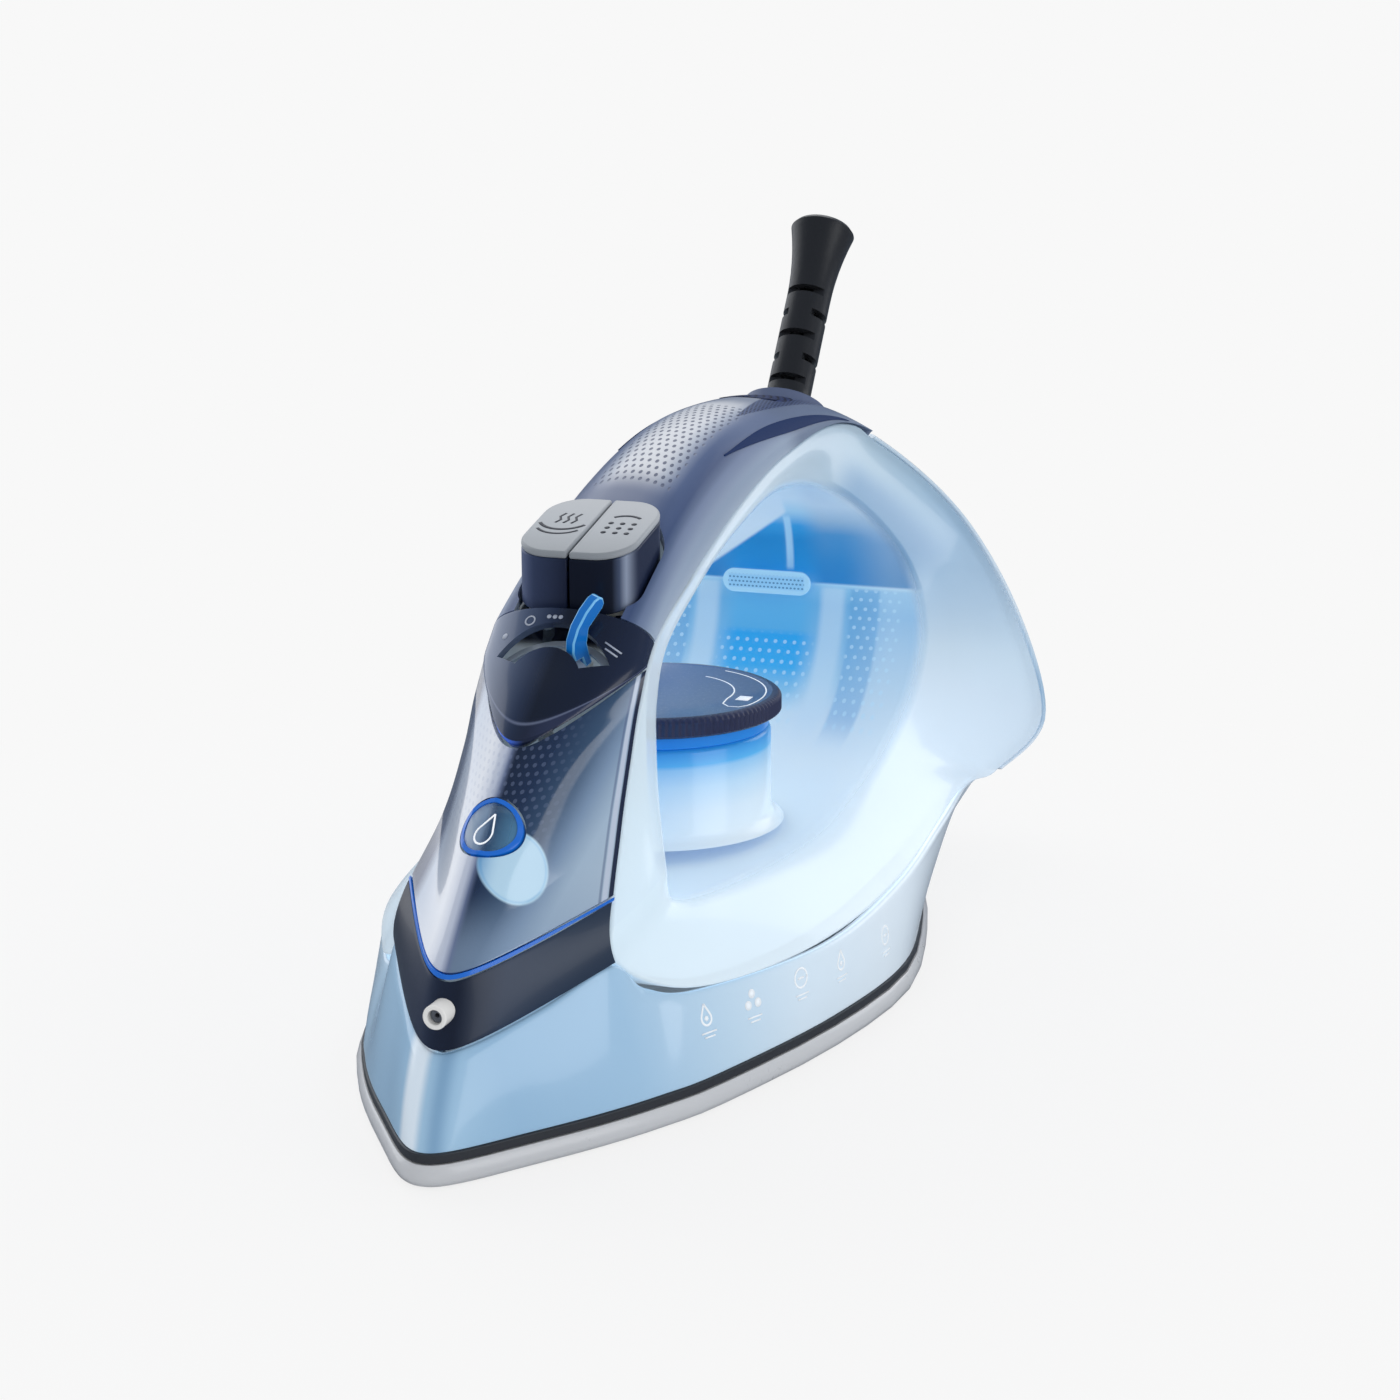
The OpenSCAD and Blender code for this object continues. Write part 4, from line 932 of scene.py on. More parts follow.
@dataclass
class LoopShape:
    """The shape of the loop, by stations around the hand opening.

    A station holds the opening's edge x and z, its half width, the outer edge x and z, its half width,
    the rounding at the opening, the outer rounding, and how far the inner face is dished.
    """

    stations: Tuple[Tuple[float, ...], ...] = (
        (44, 48, 25.5, 73.5, 41.5, 23.4, 5, 0.8, 1),
        (38, 58, 21.5, 58.5, 57, 19.8, 4, 0.8, 0),
        (35, 69, 19.5, 49.5, 69.5, 18.6, 4, 0.8, 0),
        (33.5, 79, 18.5, 43, 80.5, 18.3, 3, 0.8, 0),
        (26, 88, 17.5, 33, 91, 18, 3, 0.8, 0),
        (6, 96, 17, 10, 100, 17.6, 3, 0.8, 0),
        (-20, 103, 16.5, -25, 110, 17, 4, 0.8, 0),
        (-50, 107, 17, -60, 116.5, 17, 5, 0.8, 0),
        (-78, 104.5, 20, -106, 117, 16.5, 5, 1, 0),
        (-92, 96, 28, -133, 107, 23, 4, 2, 0),
        (-97, 84, 36, -154, 86, 37, 4, 4, 0),
        (-96, 70, 40.5, -164, 58, 50, 4, 5, 0),
        (-89, 58, 41, -167, 30, 56.5, 4, 3, 1),
        (-75, 49, 40.5, -131, 24.2, 53.5, 4, 2, 3),
        (-52, 43, 40.3, -86, 30.6, 53.6, 4, 1, 4),
        (-20, 40, 39, -24, 26.2, 56, 4, 1, 4),
        (12, 39.5, 36.5, 22, 24.2, 50.3, 4, 1, 3),
        (35, 39.5, 32, 56, 24.6, 36, 4, 1, 2),
        (46, 41, 27.5, 71, 32, 25.2, 4, 1, 1.5),
    )
    steps: int = 8
    side_bulge: float = 1.4
    seam_gap: float = 0.4
    cover_wall: float = 2.6
    cover_from: float = 9 - 1 / 3
    cover_to: float = 13.0
    corner_steps: int = 5
    inner_shares: Tuple[float, ...] = (0.12, 0.35, 0.6, 0.82)
    side_shares: Tuple[float, ...] = (0.2, 0.4, 0.6, 0.8)
    outer_shares: Tuple[float, ...] = (0.7, 0.35, 0.1)

    def at(self, u: float) -> List[float]:
        """Returns the station at u."""
        return around(self.stations, u)

    def edge(self, u: float) -> Vector:
        """Returns the outer edge's place at u, in the middle plane."""
        s = self.at(u)
        return Vector((s[3], 0, s[4]))

    def way(self, s: Row) -> Vector:
        """Returns the direction from the opening's edge to the outer edge at a station."""
        return Vector((s[3] - s[0], 0, s[4] - s[1])).normalized()

    def half_width(self, u: float) -> float:
        """Returns half the outer edge's width at u."""
        return self.at(u)[5]

    def trim(self, u: float) -> float:
        """Returns how far the loop stays below its outer edge at u.

        Args:
            u: The place around the loop, in stations.

        Returns:
            The distance in millimetres.
        """
        cover = self.cover_wall + self.seam_gap
        if self.cover_from <= u <= self.cover_to:
            return cover
        near = min(abs(u - self.cover_from), abs(u - self.cover_to)) * 3
        return blend(cover, self.seam_gap * (2 if u < 4 else 1), min(near, 1.0))

    def width(self, s: Sequence[float], a: float, depth: float) -> float:
        """Returns the half width at a distance a below the opening's edge."""
        return blend(s[2], s[5], a / depth) + self.side_bulge * math.sin(math.pi * a / depth)

    def half_section(self, s: Sequence[float], t: float, trim: float) -> List[Flat]:
        """Returns half a section, as distances below the opening's edge and half widths.

        Args:
            s: The station.
            t: How far inside the surface the section lies.
            trim: How far the loop stays below its outer edge.

        Returns:
            The points from the middle of the inner face round to the middle of the outer face.
        """
        depth = math.hypot(s[3] - s[0], s[4] - s[1]) - trim
        r, q = max(s[6] - t, 1), max(s[7] - t / 2, 0.4)
        flat = s[2] - t - r
        turns = [math.pi / 2 * v for v in shares(self.corner_steps)]
        points = [(t + s[8] * (1 - k * k), flat * k) for k in self.inner_shares]
        for g in turns:
            a = t + r * (1 - math.cos(g))
            points.append((a, self.width(s, a, depth) - t - r * (1 - math.sin(g))))
        for k in self.side_shares:
            a = blend(t + r, depth - t - q, k)
            points.append((a, self.width(s, a, depth) - t))
        for g in reversed(turns):
            a = depth - t - q * (1 - math.cos(g))
            points.append((a, self.width(s, a, depth) - t - q * (1 - math.sin(g))))
        points += [(depth - t, (s[5] - q) * k) for k in self.outer_shares]
        return points

    def ring(self, u: float, t: float) -> Ring:
        """Returns the closed section at u, a distance t inside the surface.

        Args:
            u: The place around the loop, in stations.
            t: How far inside the surface the section lies.

        Returns:
            The points.
        """
        s = self.at(u)
        half = self.half_section(s, t, self.trim(u))
        way = self.way(s)
        return [Vector((s[0] + way.x * a, y, s[1] + way.z * a))
                for a, y in half + [(a, -y) for a, y in reversed(half)]]

    def skin(self, t: float) -> List[Ring]:
        """Returns the rings of a whole skin, a distance t inside the surface."""
        count = self.steps * len(self.stations)
        return [self.ring(k / self.steps, t) for k in range(count)]


LOOP = LoopShape()


@dataclass
class WaterTank:
    """The clear loop with the dial's tower, and the cover over its back."""

    palette: Palette
    wall: float = 2.2
    tower_d: float = 52.0
    tower_foot: float = 38.5
    spindle_room: float = 6.0
    screw_at: Flat = (-167.07, 47.82)
    screw_y: float = 30.0
    screw_r: float = 3.3
    screw_axis: Point = (-0.9709, 0, -0.2394)

    def build_loop(self) -> None:
        """Builds both skins of the loop and the tower that carries the dial."""
        bm = skinned(LOOP.skin(0.0), closed=True, looped=True)
        core = skinned(LOOP.skin(self.wall), closed=True, looped=True)
        low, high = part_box("dial_collar")
        centre, top, r, foot = (low + high) / 2 / MM, low.z / MM, self.tower_d / 2, self.tower_foot
        profile = [(r + 3, foot), (r + 1, foot + 0.8), (r, foot + 3), (r, top - 1.2), (r - 0.4, top - 0.3),
                   (r - 1.4, top - 0.05), (self.spindle_room, top - 0.05)]
        spin_profile(bm, profile, upright((centre.x, 0, 0)), material=1)
        looks = [self.palette.loop, self.palette.get(Palette.TOWER)]
        Piece("tank_shell", "clear_blue", looks, ["water_tank", "handle_underside", "rear_housing"],
              shade=Shade.SMOOTH).finish(bm)
        Piece("tank_inner_skin", "clear_blue", [self.palette.depth], shade=Shade.SMOOTH).finish(core)

    def cover_ring(self, v: float, count: int = 24) -> Ring:
        """Returns the cover's closed section at the share v of its length, with its edges rounded off.

        Args:
            v: The share.
            count: How many steps its outside has.

        Returns:
            The points.
        """
        s = LOOP.at(blend(LOOP.cover_from, LOOP.cover_to, v))
        way, edge, wall = LOOP.way(s), Vector((s[3], 0, s[4])), LOOP.cover_wall
        spread = [math.cos(math.pi * share) for share in shares(count)]
        outer = [edge - way * (wall * (1 - min(1, 3.2 * math.sqrt(1 - abs(c)))) * 0.7)
                 + Vector((0, s[5] * c, 0)) for c in spread]
        return outer + [edge - way * wall + Vector((0, (s[5] - 0.6) * c, 0)) for c in reversed(spread)]

    def build_cover(self) -> None:
        """Builds the cover over the back of the loop as a closed shell with its screws' holes."""
        bm = skinned([self.cover_ring(v) for v in shares(36)], closed=True)
        fill_holes(bm)
        outwards(bm)
        cover = Piece("back_cover", "cover_ice", [self.palette.cover], ["rear_cover"]).finish(bm, bevel=0.4)
        x, z = self.screw_at
        carve(cover, [bore(upright((x, y, z), self.screw_axis), self.screw_r, 48, 12)
                      for y in (self.screw_y, -self.screw_y)])

    def build(self) -> None:
        """Builds the loop and its cover."""
        self.build_loop()
        self.build_cover()


# ---- Soleplate and lower housing -------------------------------------------------


@dataclass
class LowerHousing:
    """The skirt between the soleplate and the loop."""

    palette: Palette
    sole_half: Tuple[Flat, ...] = (
        (116, 0), (114.6, 4), (110, 8.6), (100, 16), (86, 26), (72, 34.3), (56, 41.6), (16, 53.6),
        (-24, 58.6), (-64, 51.5), (-89, 43.5), (-103, 36.5), (-112, 26), (-116, 12), (-116, 0))
    top_half: Tuple[Point, ...] = (
        (106.5, 0, 24), (104.8, 4, 24.6), (99, 9, 26.3), (88.5, 15.6, 29.4), (74, 24, 34), (66, 28, 27),
        (55, 36, 24), (18, 51.4, 23.6), (-22, 56, 25.6), (-60, 55.8, 29.4), (-92, 53, 30), (-118, 49, 26),
        (-130, 36, 22.6), (-134, 18, 22), (-134.5, 0, 22))
    steps: int = 8
    bulge: float = 0.6
    wall: float = 2.2
    rows: int = 14
    rim_round: float = 0.9
    marks: Tuple[Point, ...] = (
        (56.3, 37.0, 19.2), (43.3, 42.7, 18.8), (28.3, 48.4, 19.3), (13.4, 52.8, 18.9), (-9.5, 56.3, 17.7))

    def edge_rings(self) -> Tuple[Ring, Ring]:
        """Returns the skirt's foot and top edge, point by point."""
        low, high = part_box("lower_housing")
        sole, top = both_sides(self.sole_half), both_sides(self.top_half)
        count = self.steps * len(sole)
        foot = [Vector((*around(sole, k / self.steps), low.z / MM)) for k in range(count)]
        edge = [Vector(around(top, k / self.steps)) for k in range(count)]
        return inset(foot, 1.6), edge

    def build(self) -> None:
        """Builds the skirt, from its foot over its rounded top edge and down inside, and its signs."""
        foot, edge = self.edge_rings()
        rings = [inset([mix(a, b, v) for a, b in zip(foot, edge)], -self.bulge * math.sin(math.pi * v))
                 for v in shares(self.rows)]
        top, r = rings.pop(), self.rim_round
        rim = ((0.0, r * 0.7), (r * 0.3, r * 0.2), (r, 0.0), (self.wall, 0.3), (self.wall + 0.2, 4.0))
        for depth, drop in rim:
            rings.append([p - Vector((0, 0, drop)) for p in (inset(top, depth) if depth else top)])
        skirt = Piece("skirt", "pale_blue_gloss", [self.palette.skirt], ["lower_housing"],
                      shade=Shade.SMOOTH).finish(skinned(rings, closed=True))
        for k, target in enumerate(self.marks):
            self.mark(on_skin(skirt, target), k)

    def mark(self, place: Matrix, kind: int) -> None:
        """Draws one of the small plain signs on the skirt, over two short lines.

        Args:
            place: The plane that the sign lies on.
            kind: Which sign it is, counted from 0.
        """
        ink = Marks(place)
        if kind in (0, 3):
            ink.drop(2.3, 0.5)
            ink.dot((0, -0.7), 0.55)
        elif kind == 1:
            for x, y in ((0, 1.3), (-1.5, -0.9), (1.5, -0.9)):
                ink.dot((x, y), 1.0)
        else:
            ink.arc(2.1, 0, 360, 0.5)
            ink.stroke([(-1.0, 0), (1.0, 0)], 0.5)
        ink.stroke([(-2.2, -3.6), (2.2, -3.6)], 0.35)
        ink.stroke([(-1.5, -4.5), (1.5, -4.5)], 0.35)
        ink.finish(f"skirt_sign_{kind + 1}", "pale_blue_gloss", self.palette.get(Palette.MARK_SOFT))


# ---- Handle ----------------------------------------------------------------------


def arch_share(c: float, power: float = 2.05) -> float:
    """Returns the height share of an arch at the width share c."""
    return max(1 - abs(c) ** power, 0) ** (1 / power)


def prow_share(c: float, r: float) -> float:
    """Returns the reach share of a prow of roundness r at the width share c."""
    return 1 - (math.sqrt(c * c + r * r) - r) / (math.sqrt(1 + r * r) - r)


def row(crest: Row, edge: Row, width: float, r: float, k: float, steps: int = 48,
        span: Flat = FULL_WIDTH) -> Ring:
    """Returns a row of points from the left edge over the crest to the right edge.

    Args:
        crest: The place of the crest.
        edge: The place of the edges, in the middle plane.
        width: The half width.
        r: The roundness of a prow.
        k: 0 for a prow, 1 for an arch, or between.
        steps: How many steps the row has.
        span: The shares of the half width at which the row starts and ends.

    Returns:
        The points.
    """
    start, end = math.acos(span[0]), math.acos(span[1])
    points = []
    for v in shares(steps):
        c = math.cos(blend(start, end, v))
        f = blend(prow_share(c, r), arch_share(c), k)
        points.append(Vector((blend(edge[0], crest[0], f), width * c, blend(edge[2], crest[2], f))))
    return points


@dataclass
class Handle:
    """The handle shell with its grip dots, side inlays and rear patch."""

    palette: Palette
    crown: Tuple[Point, ...] = (
        (38.4, 0, 98.2), (8.5, 0, 115), (-25, 0, 125), (-60, 0, 127.2), (-103, 0, 122.8), (-131, 0, 109))
    start: float = 4.0
    end: float = 8.58
    wall: float = 2.2
    rows: int = 90
    guard_foot: Point = (-110.5, 0, 118.6)
    guard_axis: Point = (-0.596, 0, 0.803)
    guard_bore_r: float = 10.9
    inlay_from: float = 6.05
    inlay_to: float = 8.12
    inlay_out: float = 0.25
    inlay_wall: float = 0.8
    patch_from: float = 7.42
    patch_to: float = 7.82

    def section(self, u: float, out: float = 0.0, steps: int = 48, span: Flat = FULL_WIDTH) -> Ring:
        """Returns the handle's section at u, a distance out beyond its surface.

        Args:
            u: The place around the loop, in stations.
            out: How far the section lies beyond the surface.
            steps: How many steps it has.
            span: The shares of the half width at which it starts and ends.

        Returns:
            The points.
        """
        crest, edge = Vector(along(self.crown, u - self.start)), LOOP.edge(u)
        crest += out * (crest - edge).normalized()
        return row(crest, edge, LOOP.half_width(u) + out, 1.0, 1.0, steps, span)

    def surface(self, u: float, c: float, out: float = 0.0) -> Vector:
        """Returns the place on the surface at u and at the width share c."""
        return self.section(u, out, 1, (c, c))[0]

    def build_shell(self, pocket: BMesh) -> None:
        """Builds the shell and cuts the buttons' pocket and the turret's bore into it.

        Args:
            pocket: The shape of the buttons' pocket.
        """
        bm = skinned([self.section(blend(self.start, self.end, v)) for v in shares(self.rows)], UP)
        shell = Piece("handle_cover", "handle_navy", [self.palette.handle], ["handle_shell"],
                      shade=Shade.SMOOTH).finish(bm, wall=self.wall)
        carve(shell, [pocket, bore(upright(self.guard_foot, self.guard_axis), self.guard_bore_r)])

    def inlay_row(self, v: float, side: int) -> Ring:
        """Returns the row at the share v of the length of the lens-shaped inlay on one side.

        Args:
            v: The share.
            side: 1 for the left side, -1 for the right.

        Returns:
            The points.
        """
        u, low = blend(self.inlay_from, self.inlay_to, v), 0.06 + 0.4 * (1 - v) ** 1.2
        reach = 0.015 + 0.165 * math.sin(math.pi * v**1.25)
        turns = [math.radians(90 * (low + reach * j)) for j in shares(8)]
        return [self.surface(u, side * math.cos(g), self.inlay_out) for g in turns]

    def build_inlays(self) -> None:
        """Builds the dark blue inlay on each side, and the dark patch before the cord guard."""
        look = [self.palette.get(Palette.INLAY)]
        for end, side in (("left", 1), ("right", -1)):
            bm = skinned([self.inlay_row(v, side) for v in shares(40)], (0, side, 0))
            Piece(f"side_inlay_{end}", "inlay_blue", look, [f"grip_inlay_{end}"],
                  shade=Shade.SMOOTH).finish(bm, wall=self.inlay_wall, bevel=0.15)
        rings = []
        for v in shares(16):
            reach = 0.5 * math.sqrt(max(1 - (2 * v - 1) ** 4, 0.02))
            rings.append(self.section(blend(self.patch_from, self.patch_to, v), 0.2, 12, (reach, -reach)))
        Piece("grip_patch", "grip_dark", [self.palette.patch], ["rear_grip_patch"],
              shade=Shade.SMOOTH).finish(skinned(rings, UP), wall=self.inlay_wall)

    def build(self, pocket: BMesh) -> None:
        """Builds every piece of the handle.

        Args:
            pocket: The closed shape that the buttons' pocket takes from the shell.
        """
        self.build_shell(pocket)
        self.build_inlays()


# ---- Buttons ---------------------------------------------------------------------


@dataclass
class Buttons:
    """The steam and spray buttons, side by side in their pocket."""

    palette: Palette
    back: float = 9.5
    front: float = 36.5
    half: float = 13.0
    corner: float = 8.0
    split: float = 0.25
    pocket_gap: float = 0.9
    pocket_front: float = 60.0
    top_back: float = 116.0
    top_front: float = 109.4
    cap: float = 1.5
    foot: Point = (9.5, 0, 104)
    foot_way: Point = (-7.7, 0, -27)

    def prism(self, grow: float, low: float, high: float) -> BMesh:
        """Returns the rounded outline of both buttons, grown by a gap and drawn up between two heights.

        Args:
            grow: The gap.
            low: The height of its foot.
            high: The height of its top.

        Returns:
            The closed prism.
        """
        x0, x1, y1, r = self.back - grow, self.front + grow, self.half + grow, self.corner + grow
        corners = ((x1 - r, y1 - r), (x0 + r, y1 - r), (x0 + r, -y1 + r), (x1 - r, -y1 + r))
        points = []
        for k, corner in enumerate(corners):
            points += circle(r, 90 * k, 90 * k + 90, 12, corner)
        bm = new_mesh()
        face = bm.faces.new([bm.verts.new((x, y, low)) for x, y in points])
        drawn = bmesh.ops.extrude_face_region(bm, geom=[face])
        tops = [v for v in drawn["geom"] if isinstance(v, BMVert)]
        bmesh.ops.translate(bm, vec=(0, 0, high - low), verts=tops)
        outwards(bm)
        return bm

    def pocket(self) -> BMesh:
        """Returns the shape of the pocket, open towards the front."""
        bm = self.prism(self.pocket_gap, 80, 140)
        for vert in bm.verts:
            if vert.co.x > self.front - 2:
                vert.co.x = self.pocket_front
        return bm

    def slope(self, drop: float) -> Tuple[Vector, Vector]:
        """Returns a point and the upward normal of the sloping top, lowered by a drop."""
        way = Vector((self.front - self.back, 0, self.top_front - self.top_back))
        return Vector((self.back, 0, self.top_back - drop)), Vector((-way.z, 0, way.x)).normalized()

    def half_block(self, side: int, low_drop: Optional[float], high_drop: float) -> BMesh:
        """Returns one half of the block between two sloping planes, or down to its foot.

        Args:
            side: 1 for the left half, -1 for the right.
            low_drop: How far the lower plane lies below the top, or None for the node's foot.
            high_drop: How far the upper plane lies below the top.

        Returns:
            The closed half block.
        """
        bm = self.prism(0, 92, 125)
        cuts = [(Vector((0, side * self.split, 0)), Vector((0, -side, 0))), self.slope(high_drop)]
        if low_drop is None:
            cuts.append((Vector(self.foot), Vector(self.foot_way).normalized()))
        else:
            point, normal = self.slope(low_drop)
            cuts.append((point, -normal))
        for point, normal in cuts:
            bmesh.ops.bisect_plane(bm, geom=[*bm.verts, *bm.edges, *bm.faces], plane_co=point,
                                   plane_no=normal, clear_outer=True)
            fill_holes(bm)
        outwards(bm)
        return bm

    def build(self) -> None:
        """Builds both buttons, their silver caps and the marks on them."""
        key, cap = self.palette.get(Palette.BUTTON), self.palette.get(Palette.SILVER)
        for name, body, side in (("steam", Body.STEAM, -1), ("spray", Body.SPRAY, 1)):
            Piece(f"{name}_key", "button_navy", [key], [f"{name}_button"], body).finish(
                self.half_block(side, None, self.cap), bevel=0.35)
            Piece(f"{name}_key_top", "button_silver", [cap], [f"{name}_button_cap"], body).finish(
                self.half_block(side, self.cap, 0.0), bevel=0.55)
            self.mark(name, body, side)

    def mark(self, name: str, body: Body, side: int) -> None:
        """Draws the plain sign of what a button does on its cap.

        Args:
            name: The button's name.
            body: The body that the button rides on.
            side: 1 for the left button, -1 for the right.
        """
        _, normal = self.slope(0)
        middle = Vector((self.back + self.front, side * self.half, self.top_back + self.top_front)) / 2
        ink = Marks(on_plane(middle + normal * 0.04, normal.cross((0, 1, 0)), normal))
        if side > 0:
            ink.arc(4.6, 50, 130, 0.75, (0, 1.2))
            for i in (-1, 0, 1):
                for j in (-1, 0, 1):
                    ink.dot((i * 2.6, j * 2.4 - 0.6), 0.6)
        else:
            ink.arc(6.0, 212, 328, 0.8, (0, 3.2))
            ink.arc(6.0, 220, 320, 0.65, (0, 1.0))
            for x in (-1.8, 0.0, 1.8):
                ink.stroke([(x, 0.4), (x + 0.7, 2.0), (x, 3.6), (x + 0.7, 5.4)], 0.55)
        ink.finish(f"{name}_sign", "button_silver", self.palette.get(Palette.MARK), body)


def on_skin(obj: Object, target: Row, up: Row = UP) -> Matrix:
    """Returns the place on a piece nearest to a point in millimetres, its +Z off the surface and +Y up.

    Args:
        obj: The piece.
        target: The point.
        up: The direction that the place stays closest to.

    Returns:
        The place.
    """
    tree = BVHTree.FromObject(obj, bpy.context.evaluated_depsgraph_get())
    spot, normal, _, _ = tree.find_nearest(Vector(target) * MM)
    off = normal.normalized()
    rise = (Vector(up) - off * off.dot(Vector(up))).normalized()
    return on_plane(spot / MM + off * 0.08, rise, off)


class Marks:
    """Thin printed marks drawn on a small plane, in millimetres."""

    def __init__(self, place: Matrix) -> None:
        """Keeps the place whose X and Y are the plane's right and up, and whose Z points off it."""
        self.place = place
        self.bm = new_mesh()

    def stroke(self, points: Sequence[Flat], width: float) -> None:
        """Draws a line of one width through points.

        Args:
            points: The points, in order.
            width: The width.
        """
        left, right = [], []
        for k, (x, y) in enumerate(points):
            before, after = points[max(k - 1, 0)], points[min(k + 1, len(points) - 1)]
            way = Vector((after[0] - before[0], after[1] - before[1])).normalized() * (width / 2)
            left.append(Vector((x - way.y, y + way.x, 0)))
            right.append(Vector((x + way.y, y - way.x, 0)))
        lay_rings(self.bm, [left, right])

    def arc(self, radius: float, start: float, end: float, width: float, centre: Flat = (0.0, 0.0)) -> None:
        """Draws part of a circle, between angles in degrees from the right."""
        self.stroke(circle(radius, start, end, 16, centre), width)

    def dot(self, centre: Flat, radius: float) -> None:
        """Draws a filled dot."""
        bmesh.ops.create_circle(self.bm, cap_ends=True, segments=20, radius=radius,
                                matrix=Matrix.Translation((*centre, 0)))

    def drop(self, size: float, width: float) -> None:
        """Draws the outline of a water drop around the middle."""
        self.stroke([(0, size), *circle(size * 0.62, -215, 35, 16, (0, size * -0.3)), (0, size)], width)

    def finish(self, name: str, slot: str, material: Material, body: Body = Body.IRON) -> None:
        """Sets the marks in their place as one thin piece.

        Args:
            name: The piece's name.
            slot: Its material slot.
            material: Its material.
            body: The body that it rides on.
        """
        bmesh.ops.transform(self.bm, matrix=self.place, verts=self.bm.verts)
        bmesh.ops.recalc_face_normals(self.bm, faces=self.bm.faces)
        off = self.place.to_3x3() @ Vector(UP)
        bmesh.ops.reverse_faces(self.bm, faces=[f for f in self.bm.faces if f.normal.dot(off) < 0])
        Piece(name, slot, [material], body=body, shade=Shade.SMOOTH).finish(self.bm, wall=0.06)


# ---- Nose ------------------------------------------------------------------------


@dataclass
class Nose:
    """The nozzle band, its gasket, the window and the hood with the lever's slot."""

    palette: Palette
    band_low: Point = (106.4, 0, 24.8)
    band_high: Point = (101.9, 0, 37.3)
    band_edge: Point = (73.8, 0, 34.8)
    band_width: float = 24.3
    band_bow: float = 9.0
    roundness: float = 0.32
    window_crest: Tuple[Point, ...] = ((101.2, 0, 38.9), (85.5, 0, 57), (66.6, 0, 75))
    window_from: float = 0.38
    window_to: float = 3.54
    strip_crest: Tuple[Point, Point] = ((102.0, 0, 37.75), (101.7, 0, 38.65))
    row_steps: int = 72
    panel_crest: Tuple[Point, ...] = ((66, 0, 75.8), (57, 0, 83.2), (47, 0, 90.4), (38.6, 0, 98))
    panel_from: float = 3.58
    panel_to: float = 3.97
    slot_centre: Point = (50.5, 0, 84.2)
    slot_slope: Point = (0.6, 0, 0.8)
    slot_depth: Flat = (-4.0, 12.0)
    slot_inner: float = 8.0
    slot_outer: float = 14.2
    slot_span: float = 124.0
    cap_d: float = 13.0
    hood_marks: Tuple[Point, ...] = (
        (42.2, -12.5, 92.4), (41, -7.0, 95.8), (40.8, -1.4, 97.0), (42.8, 12.6, 91.6))

    def nose_row(self, crest: Row, edge: Row, width: float, r: Optional[float] = None,
                 k: float = 0.0) -> Ring:
        """Returns a row around the nose, as sharp as the band unless a roundness is given."""
        return row(crest, edge, width, self.roundness if r is None else r, k, self.row_steps)

    def skin(self, name: str, rings: Sequence[Ring], look: Material, slot: str, node: str, wall: float,
             bevel: float = 0.25) -> Object:
        """Builds a sheet piece through rings, with its wall inwards, and returns it."""
        return Piece(name, slot, [look], [node]).finish(skinned(rings, FORWARD), wall=wall, bevel=bevel)

    def build_band(self) -> None:
        """Builds the navy band around the nozzle, and the bright blue strip between it and the window."""
        u, rings = self.window_from - 0.06, []
        for v in shares(14):
            edge = mix(self.band_edge, LOOP.edge(u) + Vector((0.4, 0, 0)), v)
            edge.x += self.band_bow * v * (1 - v)
            rings.append(self.nose_row(mix(self.band_low, self.band_high, v), edge,
                                       blend(self.band_width, LOOP.half_width(u), v)))
        self.skin("nozzle_band", rings, self.palette.get(Palette.NOZZLE_BAND), "nozzle_navy",
                  "nozzle_housing", 2.0, 0.3)
        rings = []
        for v in shares(3):
            u = self.window_from - 0.045 + 0.03 * v
            rings.append(self.nose_row(mix(*self.strip_crest, v), LOOP.edge(u), LOOP.half_width(u) + 0.3))
        self.skin("blue_gasket", rings, self.palette.get(Palette.BRIGHT_BLUE), "bright_blue",
                  "window_gasket", 1.6, 0.15)

    def window_row(self, v: float) -> Ring:
        """Returns the window's row at the share v of its height."""
        u = blend(self.window_from, self.window_to, v)
        crest, r = Vector(along(self.window_crest, 2 * v)), blend(self.roundness, 0.45, math.sqrt(v))
        return self.nose_row(crest, LOOP.edge(u), LOOP.half_width(u), r)

    def build_window(self) -> None:
        """Builds the tinted window and cuts the fill cap's hole into it."""
        window = self.skin("tinted_window", [self.window_row(v) for v in shares(48)], self.palette.window,
                           "window_tint", "front_window", 1.8)
        carve(window, [bore(upright(CAP_CENTRE, CAP_AXIS), self.cap_d / 2 + 0.4)])

    def panel_row(self, v: float) -> Ring:
        """Returns the hood's row at the share v of its height."""
        u = blend(self.panel_from, self.panel_to, v)
        crest = Vector(along(self.panel_crest, 3 * v))
        return self.nose_row(crest, LOOP.edge(u), LOOP.half_width(u), 0.4, v**0.6)

    def slot_shape(self) -> BMesh:
        """Returns the shape of the lever's slot, part of a ring about the lever's axis."""
        bm = bmesh.new()
        (low, high), near, far = self.slot_depth, self.slot_inner, self.slot_outer
        square = [(near, low), (far, low), (far, high), (near, high)]
        face = bm.faces.new([bm.verts.new((x, 0, z)) for x, z in square])
        start = Matrix.Rotation(math.radians(180 - self.slot_span / 2), 3, "Z")
        bmesh.ops.rotate(bm, cent=(0, 0, 0), matrix=start, verts=bm.verts)
        bmesh.ops.spin(bm, geom=[face], cent=(0, 0, 0), axis=UP, angle=math.radians(self.slot_span), steps=40)
        bmesh.ops.transform(bm, matrix=upright(self.slot_centre, self.slot_slope), verts=bm.verts)
        return bm

